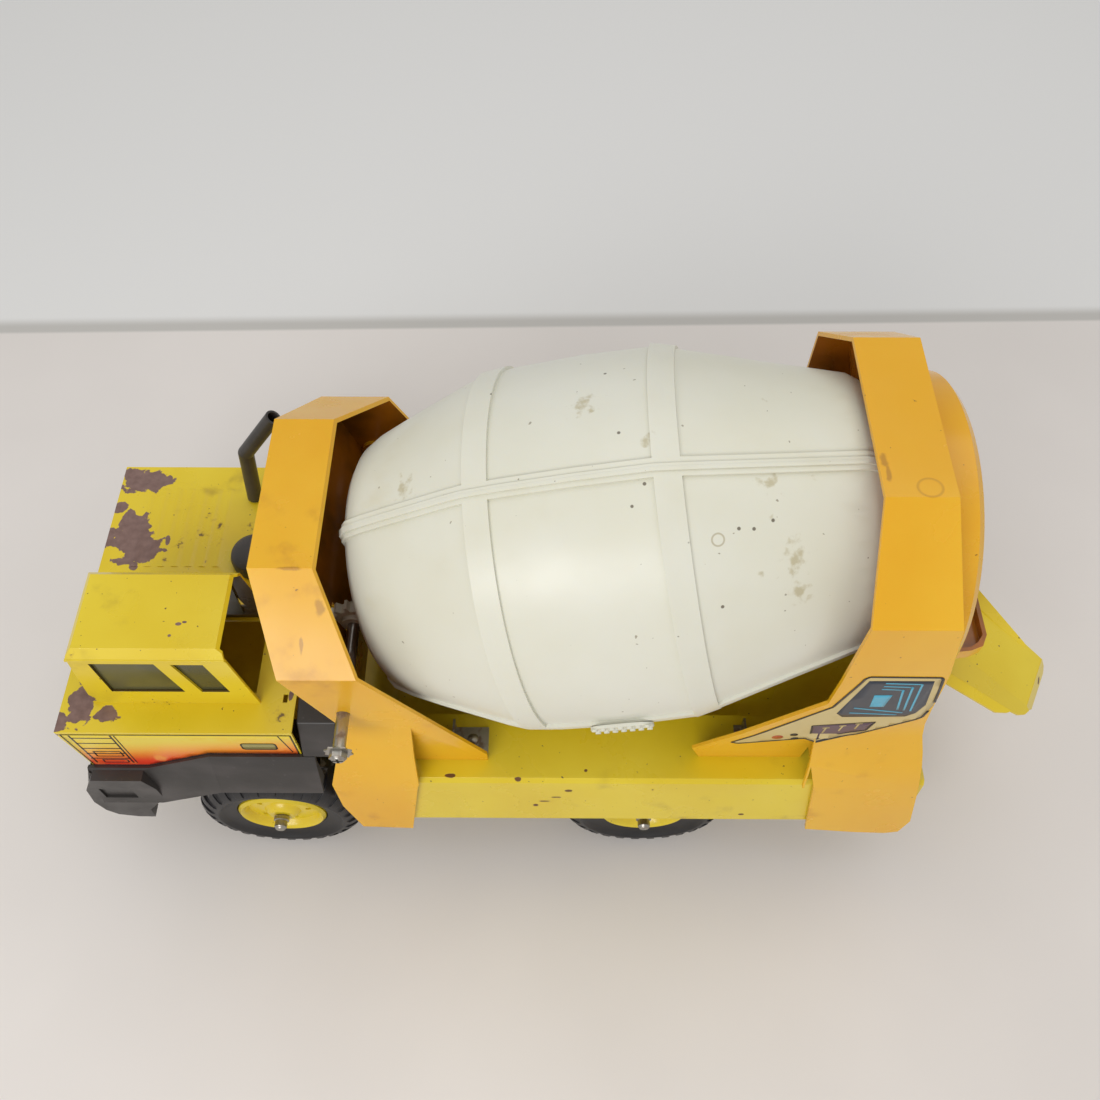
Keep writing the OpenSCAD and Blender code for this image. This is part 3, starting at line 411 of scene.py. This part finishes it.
def make_tyre_plastic(axle_x):
    material, tree, shader, place = new_finish("tyre_plastic_" + ("front" if axle_x < -0.1 else "rear"))
    away = tree.nodes.new("ShaderNodeVectorMath")
    away.operation = "SUBTRACT"
    away.inputs[1].default_value = (axle_x, 0.0, 0.045)
    tree.links.new(place, away.inputs[0])
    flat = tree.nodes.new("ShaderNodeVectorMath")
    flat.operation = "MULTIPLY"
    flat.inputs[1].default_value = (1.0, 0.0, 1.0)
    tree.links.new(away.outputs[0], flat.inputs[0])
    length = tree.nodes.new("ShaderNodeVectorMath")
    length.operation = "LENGTH"
    tree.links.new(flat.outputs[0], length.inputs[0])
    shoulder = between(tree, length.outputs["Value"], SCUFF_FROM, SCUFF_TO)
    scuff = sums(tree, "MULTIPLY", shoulder, between(tree, noise(tree, place, 150, 6), 0.52, 0.66, 0.75))
    bloom = between(tree, noise(tree, place, 40, 5), 0.4, 0.8, 0.7)
    shade = layer(tree, bloom, colour(30, 29, 31), colour(50, 48, 50))
    shade = layer(tree, scuff, shade, colour(150, 148, 146))
    tree.links.new(shade, shader.inputs["Base Color"])
    rough = sums(tree, "ADD", sums(tree, "MULTIPLY", scuff, 0.3), 0.42)
    tree.links.new(rough, shader.inputs["Roughness"])
    bumps(tree, shader, noise(tree, place, 300, 3), 0.2, 0.15)
    return material


rear_axle_x = sum(corner[0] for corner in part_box("axle_rear")) / 2
front_axle_x = sum(corner[0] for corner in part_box("axle_front")) / 2
tyre_front = make_tyre_plastic(front_axle_x)
tyre_rear = make_tyre_plastic(rear_axle_x)
print("axles at", round(front_axle_x, 4), round(rear_axle_x, 4))

# %% [markdown]
# ### Bare steel, nylon and tinted glazing
# The clips, axle caps and crank rod are plated steel that has gone dull and rusty in places.
# The gears are milky nylon. The cabin windows are an olive tinted plastic that is nearly
# opaque when seen against the dark inside.

# %% Steel, nylon and glazing
def make_steel():
    material, tree, shader, place = new_finish("bare_steel")
    rust = between(tree, noise(tree, place, 170, 6), 0.52, 0.68, 0.85)
    shade = layer(tree, noise(tree, place, 60, 3), colour(186, 184, 178), colour(150, 146, 138))
    shade = layer(tree, rust, shade, colour(118, 92, 66))
    tree.links.new(shade, shader.inputs["Base Color"])
    tree.links.new(sums(tree, "SUBTRACT", 1.0, sums(tree, "MULTIPLY", rust, 0.8)), shader.inputs["Metallic"])
    tree.links.new(sums(tree, "ADD", sums(tree, "MULTIPLY", rust, 0.4), 0.3), shader.inputs["Roughness"])
    bumps(tree, shader, noise(tree, place, 260, 4), 0.3, 0.15)
    return material


def make_nylon():
    material, tree, shader, place = new_finish("nylon")
    shade = layer(tree, between(tree, noise(tree, place, 40, 4), 0.4, 0.75),
                  colour(222, 216, 196), colour(196, 184, 150))
    tree.links.new(shade, shader.inputs["Base Color"])
    rough = sums(tree, "ADD", between(tree, noise(tree, place, 60, 4), 0.3, 0.8, 0.15), 0.34)
    tree.links.new(rough, shader.inputs["Roughness"])
    bumps(tree, shader, noise(tree, place, 300, 2), 0.1, 0.1)
    return material


def make_glazing():
    material, tree, shader, place = new_finish("tinted_glazing")
    shade = layer(tree, between(tree, noise(tree, place, 22, 4), 0.35, 0.7),
                  colour(78, 76, 44), colour(104, 100, 62))
    tree.links.new(shade, shader.inputs["Base Color"])
    rough = sums(tree, "ADD", between(tree, noise(tree, place, 50, 4), 0.4, 0.8, 0.15), 0.14)
    tree.links.new(rough, shader.inputs["Roughness"])
    bumps(tree, shader, noise(tree, place, 18, 2), 0.1, 0.3)
    shader.inputs["Transmission Weight"].default_value = 0.2
    shader.inputs["IOR"].default_value = 1.46
    return material


bare_steel = make_steel()
nylon = make_nylon()
glazing = make_glazing()
print("steel, nylon and glazing are ready")

# %% [markdown]
# ## Give every carried-over part its finish
# A part whose shape is right keeps its mesh and only gets a better material. Its slot is set
# to belong to the object, so the mesh data stays exactly as it came. The record says which
# slot each part uses, and this table says which finish stands for that slot.

# %% Finish for each slot
FINISH = {
    "painted_steel": enamel, "support_plastic": support_plastic, "dark_plastic": dark_plastic,
    "drum_plastic": drum_plastic, "nylon": nylon, "tinted_glazing": glazing,
    "tyre_plastic": tyre_front, "bare_steel": bare_steel,
}
slot_of = {part["node"]: part["material_slot"] for part in frame["record"]["subparts"]}
body_of = {}
for body, nodes in frame["record"]["behaviour"]["bodies"].items():
    for node in nodes:
        body_of[node] = body


SPECIAL = {
    "tyre_rear_left": tyre_rear, "tyre_rear_right": tyre_rear,
    "front_drum_support": front_plastic, "cabin_shell": cabin_enamel,
}


def finish_for(node):
    if node in SPECIAL:
        return SPECIAL[node]
    return FINISH[slot_of[node]]


for node, part in frame["nodes"].items():
    for material_slot in part.material_slots:
        material_slot.link = "OBJECT"
        material_slot.material = finish_for(node)
print("finishes given to", len(frame["nodes"]), "parts")

# %% [markdown]
# ## Soft edges
# Nothing moulded or pressed has a knife edge, and a small rounded edge is what catches the
# light. A copy of the part is welded, its flat faces are joined back into whole faces, and a
# Bevel modifier rounds only the sharp edges. The copy then stands for the part. Rounding the
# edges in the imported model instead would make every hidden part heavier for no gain.

# %% Stand a soft-edged copy in for a part
def soften(node, width_mm, segments=2, angle=28.0):
    source = frame["nodes"][node]
    build = bmesh.new()
    build.from_mesh(source.data)
    bmesh.ops.remove_doubles(build, verts=build.verts, dist=0.004 * MM)
    bmesh.ops.dissolve_degenerate(build, edges=build.edges, dist=0.004 * MM)
    bmesh.ops.dissolve_limit(build, angle_limit=math.radians(0.6), verts=build.verts, edges=build.edges)
    mesh = bpy.data.meshes.new(node + "_soft")
    build.to_mesh(mesh)
    build.free()
    for name in ("custom_normal", "sharp_face"):
        if mesh.attributes.get(name):
            mesh.attributes.remove(mesh.attributes[name])
    mesh.materials.clear()
    mesh.materials.append(finish_for(node))
    mesh.shade_smooth()
    mesh.set_sharp_from_angle(angle=math.radians(angle))
    piece = bpy.data.objects.new(node + "_soft", mesh)
    bpy.context.scene.collection.objects.link(piece)
    bevel = piece.modifiers.new("soft edges", "BEVEL")
    bevel.width = width_mm * MM
    bevel.segments = segments
    bevel.limit_method = "ANGLE"
    bevel.angle_limit = math.radians(angle)
    bevel.harden_normals = True
    bevel.use_clamp_overlap = True
    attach(piece, body_of[node])
    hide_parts(node)
    return piece


soft = {}
for node, width in {
    "cab_shell": 0.5, "cabin_shell": 0.5, "chassis_pan": 0.5, "chute_trough": 0.5,
    "front_drum_support": 0.95, "rear_drum_support": 0.8, "bumper_fenders": 0.8,
    "side_tank_left": 1.6, "side_tank_right": 1.6, "air_cleaner": 0.8, "crank_arm": 0.8,
    "drum_half_left": 0.7, "drum_half_right": 0.7, "drum_hatch": 0.4,
    "hub_front_left": 0.6, "hub_front_right": 0.6, "hub_rear_left": 0.6, "hub_rear_right": 0.6,
}.items():
    soft[node] = soften(node, width)
print("soft-edged parts:", len(soft))

# %% [markdown]
# ## Tyres
# The real tyres are hollow black plastic. A dark dish round the wheel disc rises to a raised
# lip, and square lugs run from the tread over the rounded shoulder, in turn on each side.
# Spinning one section of the tyre round the axle makes the carcass. Every other strip of the
# tread is then pushed out to make a lug, which keeps the lugs joined to the carcass as in a
# moulding.

# %% Spin and lug a tyre
# Lugs on each side, and their sizes in millimetres from the axle line
LUGS = 26
LUG_ANGLE = math.tau / (LUGS * 2)
LUG_FOOT = 36.5
LUG_RISE = 1.7
TREAD_R = 44.98
MIDDLE_GAP = 0.6
WORN_ANGLE = math.radians(38)
SECTION = [
    (24.1, 10.6), (24.8, 12.0), (28.6, 12.8), (32.2, 14.0), (33.2, 15.4), (34.2, 16.1), (35.6, 15.9),
    (38.2, 14.4), (40.8, 12.2), (42.6, 9.6), (43.3, 7.4), (43.4, 1.0), (43.4, -1.0), (43.3, -7.4),
    (42.6, -9.6), (40.8, -12.2), (38.2, -14.4), (35.0, -16.1), (28.0, -14.4), (24.1, -11.4),
]


def make_tyre(node, finish):
    low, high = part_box(node)
    middle = [(a + b) / 2 for a, b in zip(low, high)]
    side = -1.0 if middle[1] < 0 else 1.0
    build = bmesh.new()
    ring = [build.verts.new((r * MM, side * y * MM, 0.0)) for r, y in SECTION]
    chain = [build.edges.new(pair) for pair in zip(ring, ring[1:])]
    bmesh.ops.spin(build, geom=ring + chain, axis=(0, 1, 0), cent=(0, 0, 0), angle=math.tau,
                   steps=LUGS * 2, use_merge=True)
    bmesh.ops.remove_doubles(build, verts=build.verts, dist=0.001 * MM)
    build.faces.ensure_lookup_table()
    lugs = {}
    for face in build.faces:
        c = face.calc_center_median()
        reach = math.hypot(c.x, c.z) / MM
        if reach < LUG_FOOT:
            continue
        strip = int((math.atan2(c.z, c.x) % math.tau) / LUG_ANGLE)
        outer = c.y * side > MIDDLE_GAP * MM
        inner = c.y * side < -MIDDLE_GAP * MM
        if outer and strip % 2 == 0 or inner and strip % 2 == 1:
            lugs.setdefault((strip, outer), []).append(face)
    for faces in lugs.values():
        out = bmesh.ops.extrude_face_region(build, geom=faces)
        for vert in out["geom"]:
            if isinstance(vert, bmesh.types.BMVert):
                reach = math.hypot(vert.co.x, vert.co.z)
                lift = min(LUG_RISE * MM, TREAD_R * MM - reach)
                vert.co.x *= (reach + lift) / reach
                vert.co.z *= (reach + lift) / reach
        bmesh.ops.delete(build, geom=[f for f in faces if f.is_valid], context="FACES")
    bmesh.ops.translate(build, verts=build.verts, vec=middle)
    bmesh.ops.recalc_face_normals(build, faces=build.faces)
    mesh = bpy.data.meshes.new(node + "_lugged")
    build.to_mesh(mesh)
    build.free()
    mesh.materials.append(finish)
    mesh.shade_smooth()
    mesh.set_sharp_from_angle(angle=WORN_ANGLE)
    piece = bpy.data.objects.new(node + "_lugged", mesh)
    bpy.context.scene.collection.objects.link(piece)
    bevel = piece.modifiers.new("worn edges", "BEVEL")
    bevel.width = 0.35 * MM
    bevel.segments = 2
    bevel.limit_method = "ANGLE"
    bevel.angle_limit = WORN_ANGLE
    bevel.harden_normals = True
    wall = piece.modifiers.new("wall", "SOLIDIFY")
    wall.thickness = 1.2 * MM
    wall.offset = -1.0
    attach(piece, body_of[node])
    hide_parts(node)


for node in ("tyre_front_left", "tyre_front_right"):
    make_tyre(node, tyre_front)
for node in ("tyre_rear_left", "tyre_rear_right"):
    make_tyre(node, tyre_rear)
print("four tyres with", LUGS, "lugs a side")

# %% [markdown]
# ## Serrated washer on the crank
# The crank rod ends in a thin push-on washer with a ragged edge. A disc with every other
# corner pulled in gives the teeth, and one inset ring lets its middle rise.

# %% Make the serrated washer
def make_washer():
    low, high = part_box("crank_washer")
    middle = Vector([(a + b) / 2 for a, b in zip(low, high)])
    build = bmesh.new()
    bmesh.ops.create_circle(build, cap_ends=True, segments=20, radius=6.8 * MM)
    for index, vert in enumerate(build.verts):
        if index % 2:
            vert.co *= 0.84
    inner = bmesh.ops.inset_region(build, faces=build.faces[:], thickness=1.8 * MM)
    centre = [f for f in build.faces if f not in inner["faces"]]
    bmesh.ops.translate(build, verts=centre[0].verts[:], vec=(0, 0, 0.7 * MM))
    bmesh.ops.solidify(build, geom=build.faces[:], thickness=0.7 * MM)
    bmesh.ops.rotate(build, verts=build.verts, cent=(0, 0, 0), matrix=Matrix.Rotation(math.radians(90), 3, "X"))
    bmesh.ops.translate(build, verts=build.verts, vec=middle)
    bmesh.ops.recalc_face_normals(build, faces=build.faces)
    mesh = bpy.data.meshes.new("serrated_washer")
    build.to_mesh(mesh)
    build.free()
    mesh.materials.append(bare_steel)
    piece = bpy.data.objects.new("serrated_washer", mesh)
    bpy.context.scene.collection.objects.link(piece)
    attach(piece, "crank")
    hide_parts("crank_washer")


make_washer()
print("washer made")

# %% [markdown]
# ## Printed stickers
# The toy has foil stickers on the cab's sides and on the sides of the rear support. A
# sticker is a flat outline cut into small squares and then laid on the surface behind it:
# each point is sent straight inwards until it meets the part, and stops a little before it.
# A point that meets nothing is cut off, as a real sticker ends at the edge of its panel.
# Lettering is left out; only the plain graphics are drawn.

# %% Lay a flat outline on a part
def surface_of(piece):
    return BVHTree.FromObject(piece, bpy.context.evaluated_depsgraph_get())


# Squares of a sticker in millimetres; where rays start and how far in they may land, in metres
GRID_MM = 5.0
FAR_SIDE = 0.12
INNERMOST = 0.07


def lay(name, outlines, tree, lift_mm, finish, side):
    build = bmesh.new()
    for outline in outlines:
        corners = [build.verts.new((x * MM, side * FAR_SIDE, z * MM)) for x, z in outline]
        build.faces.new(corners)
    for axis in (0, 2):
        spread = [v.co[axis] for v in build.verts]
        step = math.floor(min(spread) / (GRID_MM * MM)) * GRID_MM * MM
        while step < max(spread):
            normal = [0.0, 0.0, 0.0]
            normal[axis] = 1.0
            point = [0.0, 0.0, 0.0]
            point[axis] = step
            bmesh.ops.bisect_plane(build, geom=build.verts[:] + build.edges[:] + build.faces[:],
                                   plane_co=point, plane_no=normal)
            step += GRID_MM * MM
    missed = []
    for vert in build.verts:
        hit = tree.ray_cast(vert.co, Vector((0.0, -side, 0.0)))
        if hit[0] and hit[0].y * side > INNERMOST:
            vert.co.y = hit[0].y + side * lift_mm * MM
        else:
            missed.append(vert)
    bmesh.ops.delete(build, geom=missed, context="VERTS")
    bmesh.ops.recalc_face_normals(build, faces=build.faces)
    for face in build.faces:
        if face.normal.y * side < 0:
            face.normal_flip()
    mesh = bpy.data.meshes.new(name)
    build.to_mesh(mesh)
    build.free()
    mesh.materials.append(finish)
    mesh.shade_smooth()
    piece = bpy.data.objects.new(name, mesh)
    bpy.context.scene.collection.objects.link(piece)
    film = piece.modifiers.new("film", "SOLIDIFY")
    film.thickness = 0.05 * MM
    film.offset = -1.0
    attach(piece, "truck")


def line(a, b, width):
    along = (Vector(b) - Vector(a)).normalized()
    across = Vector((-along.y, along.x)) * width / 2
    a, b = Vector(a), Vector(b)
    return [tuple(p) for p in (a - across, b - across, b + across, a + across)]


def outline_lines(points, width, closed=True):
    pairs = list(zip(points, points[1:] + points[:1] if closed else points[1:]))
    return [line(a, b, width) for a, b in pairs]


def disc(x, z, radius, corners=16):
    turns = [i * math.tau / corners for i in range(corners)]
    return [(x + radius * math.cos(turn), z + radius * math.sin(turn)) for turn in turns]


print("sticker tools are ready")

# %% Inks
def make_ink(name, base, worn):
    material, tree, shader, place = new_finish(name)
    fade = between(tree, noise(tree, place, 120, 5), 0.45, 0.8, 0.5)
    tree.links.new(layer(tree, fade, base, worn), shader.inputs["Base Color"])
    tree.links.new(sums(tree, "ADD", sums(tree, "MULTIPLY", fade, 0.2), 0.3), shader.inputs["Roughness"])
    return material


def make_flame():
    material, tree, shader, place = new_finish("cab_sticker")
    split = tree.nodes.new("ShaderNodeSeparateXYZ")
    tree.links.new(place, split.inputs[0])
    tilt = sums(tree, "SUBTRACT", split.outputs["Z"], sums(tree, "MULTIPLY", split.outputs["X"], 0.10))
    wave = sums(tree, "ADD", tilt, sums(tree, "MULTIPLY", noise(tree, place, 30, 2), 0.006))
    shade = layer(tree, between(tree, wave, 0.160, 0.142), colour(228, 204, 60), colour(238, 150, 40))
    shade = layer(tree, between(tree, wave, 0.148, 0.132), shade, colour(226, 62, 34))
    scuffs = between(tree, noise(tree, place, 90, 6), 0.56, 0.72, 0.4)
    shade = layer(tree, scuffs, shade, colour(232, 190, 90))
    tree.links.new(shade, shader.inputs["Base Color"])
    tree.links.new(sums(tree, "ADD", scuffs, 0.3), shader.inputs["Roughness"])
    return material


ink_black = make_ink("ink_black", colour(44, 38, 36), colour(80, 66, 56))
ink_beige = make_ink("ink_beige", colour(206, 186, 128), colour(190, 164, 98))
ink_dark = make_ink("ink_dark_blue", colour(48, 54, 66), colour(66, 70, 80))
ink_blue = make_ink("ink_light_blue", colour(84, 176, 206), colour(96, 150, 176))
ink_purple = make_ink("ink_purple", colour(92, 70, 84), colour(110, 88, 92))
ink_olive = make_ink("ink_olive", colour(150, 142, 84), colour(130, 120, 70))
ink_red = make_ink("ink_red", colour(190, 80, 50), colour(200, 120, 80))
flame = make_flame()
print("inks are ready")

# %% [markdown]
# ### Cab side
# The cab sticker fades from yellow at the top to red at its lower front corner. A ladder is
# printed at the front, and a door handle in its slot at the rear. Its lower edge follows the
# fender.

# %% Cab side stickers
CAB_PANEL = [(-244.9, 143.6), (-134.2, 143.6), (-134.2, 120.2), (-179.4, 120.6), (-213.8, 104.6),
             (-242.4, 104.6)]
LADDER = [line((-241.2, 142.8), (-239.6, 107.6), 0.9), line((-221.2, 142.8), (-221.2, 107.6), 0.9),
          line((-219.4, 142.8), (-219.4, 107.6), 0.6)]
LADDER += [line((-240.8, z), (-221.2, z), 0.9) for z in (139.5, 133.0, 126.5, 120.0, 113.5)]
RUNG_FRAMES = outline_lines([(-236.5, 122.5), (-223.2, 122.5), (-223.2, 116.4), (-236.5, 116.4)], 0.8)
RUNG_FRAMES += outline_lines([(-235.5, 111.8), (-223.2, 111.8), (-223.2, 108.2), (-235.5, 108.2)], 0.8)
HANDLE = [(-160.6, 132.6), (-159.4, 133.6), (-144.6, 133.6), (-143.6, 132.6), (-143.6, 127.4),
          (-144.6, 126.4), (-159.4, 126.4), (-160.6, 127.4)]
BORDER = outline_lines(CAB_PANEL, 0.7) + [line((-140.2, 143), (-136.8, 123), 0.6)]

cab_surface = surface_of(soft["cab_shell"])
for side, word in ((-1.0, "left"), (1.0, "right")):
    lay("cab_sticker_" + word, [CAB_PANEL], cab_surface, 0.12, flame, side)
    lay("cab_sticker_lines_" + word, LADDER + RUNG_FRAMES + BORDER, cab_surface, 0.20, ink_black, side)
    lay("cab_handle_" + word, [HANDLE], cab_surface, 0.22, ink_olive, side)
    lay("cab_handle_rim_" + word, outline_lines(HANDLE, 0.7), cab_surface, 0.28, ink_black, side)
print("cab stickers laid on both sides")

# %% [markdown]
# ### Rear support side
# A beige control panel is printed here: a dark screen with nested light-blue lines, a box
# with three levers, and small dials towards the tip. It is a generic control desk.

# %% Control panel stickers
PANEL = [(80.5, 129.5), (119.0, 178.6), (125.4, 210.4), (127.0, 212.4), (157.6, 212.0), (158.6, 210.4),
         (163.4, 181.0), (162.8, 167.0), (160.6, 163.6), (140.6, 146.0), (137.6, 143.6), (84.0, 127.6)]
SCREEN = [(126.0, 166.6), (122.4, 171.0), (127.6, 208.6), (155.4, 208.8), (159.8, 182.0),
          (158.2, 172.0), (154.6, 167.6)]
NEST = []
for inset in (0.0, 3.2, 6.4):
    NEST += outline_lines([(135.2, 206.4 - inset), (151.2 - inset, 205.6 - inset),
                           (155.0 - inset, 174.5 + inset * 0.3)], 1.0, closed=False)
BLUE = [[(133.8, 193.2), (141.8, 193.4), (141.6, 179.8), (135.2, 179.6)],
        line((128.6, 178), (152, 172.6), 1.1), line((128.0, 172), (150, 170), 1.0)]
LEVER_BOX = [(114.8, 155.0), (143.0, 160.4), (141.4, 149.6), (116.8, 138.6)]
LEVER_FEET = [(121.4, 145.6), (128.6, 148.4), (135.6, 151.2)]
LEVERS = [line((x, z), (x + 0.4, z + 6.5), 0.9) for x, z in LEVER_FEET]
LEVERS += [line((x - 1.2, z + 6.6), (x + 2.0, z + 7.2), 1.0) for x, z in LEVER_FEET]
DIALS = [disc(108.6, 142.6, 1.9), disc(110.0, 136.6, 1.9)]

rear_surface = surface_of(soft["rear_drum_support"])
for side, word in ((-1.0, "left"), (1.0, "right")):
    for name, outlines, lift_mm, ink in (
        ("panel_", [PANEL], 0.12, ink_beige),
        ("panel_rim_", outline_lines(PANEL, 1.3), 0.20, ink_black),
        ("panel_screen_", [SCREEN], 0.20, ink_dark),
        ("panel_blue_", NEST + BLUE, 0.28, ink_blue),
        ("panel_lever_box_", [LEVER_BOX], 0.20, ink_purple),
        ("panel_lever_rim_", outline_lines(LEVER_BOX, 0.8), 0.26, ink_black),
        ("panel_levers_", LEVERS, 0.28, ink_beige),
        ("panel_dials_", DIALS, 0.20, ink_black),
        ("panel_red_dial_", [disc(101.4, 138.6, 2.8)], 0.20, ink_red),
    ):
        lay(name + word, outlines, rear_surface, lift_mm, ink, side)
print("control panels laid on both sides")

# %% [markdown]
# ## Floor and light
# The toy stands on a pale sheet that meets a slightly lighter wall. A wall would get in the
# way of views from behind, so the floor itself turns lighter beyond a thin grey line. The
# light is a bright even surround, with one large soft light from above the cab's side that
# gives the broad pale highlights on the supports.

# %% Pale floor
def make_floor():
    material, tree, shader, place = new_finish("pale_floor")
    split = tree.nodes.new("ShaderNodeSeparateXYZ")
    tree.links.new(place, split.inputs[0])
    shade = layer(tree, between(tree, noise(tree, place, 5, 3), 0.3, 0.7),
                  colour(230, 225, 221), colour(225, 220, 216))
    far = sums(tree, "SUBTRACT", split.outputs["Y"], sums(tree, "MULTIPLY", split.outputs["X"], 0.0213))
    shade = layer(tree, between(tree, far, 0.3302, 0.3342), shade, colour(196, 194, 190))
    shade = layer(tree, between(tree, far, 0.3382, 0.350), shade, colour(230, 230, 229))
    tree.links.new(shade, shader.inputs["Base Color"])
    shader.inputs["Roughness"].default_value = 0.85
    shader.inputs["Specular IOR Level"].default_value = 0.2
    return material


sheet = bmesh.new()
bmesh.ops.create_grid(sheet, x_segments=1, y_segments=1, size=6.0)
floor_mesh = bpy.data.meshes.new("floor")
sheet.to_mesh(floor_mesh)
sheet.free()
floor_mesh.materials.append(make_floor())
floor = bpy.data.objects.new("floor", floor_mesh)
bpy.context.scene.collection.objects.link(floor)
print("floor laid")

# %% Lights
world = bpy.data.worlds.new("studio")
bpy.context.scene.world = world
world.use_nodes = True
world.node_tree.nodes["Background"].inputs[0].default_value = (1.0, 0.985, 0.965, 1.0)
world.node_tree.nodes["Background"].inputs[1].default_value = 0.58


def soft_light(name, place, aim, size, power, tint=(1.0, 1.0, 1.0)):
    lamp = bpy.data.lights.new(name, "AREA")
    lamp.shape = "RECTANGLE"
    lamp.size, lamp.size_y = size
    lamp.energy = power
    lamp.color = tint
    holder = bpy.data.objects.new(name, lamp)
    holder.location = place
    holder.rotation_euler = (Vector(aim) - Vector(place)).to_track_quat("-Z", "Y").to_euler()
    bpy.context.scene.collection.objects.link(holder)


soft_light("key", (-0.43, -1.0, 0.89), (-0.1, -0.05, 0.2), (0.8, 0.42), 6.5, (1.0, 0.99, 0.975))
soft_light("top", (0.25, 0.35, 1.6), (0.0, 0.0, 0.1), (1.4, 1.2), 5.0, (0.97, 0.985, 1.0))
bpy.context.scene.view_settings.view_transform = "Standard"
print("lights set")
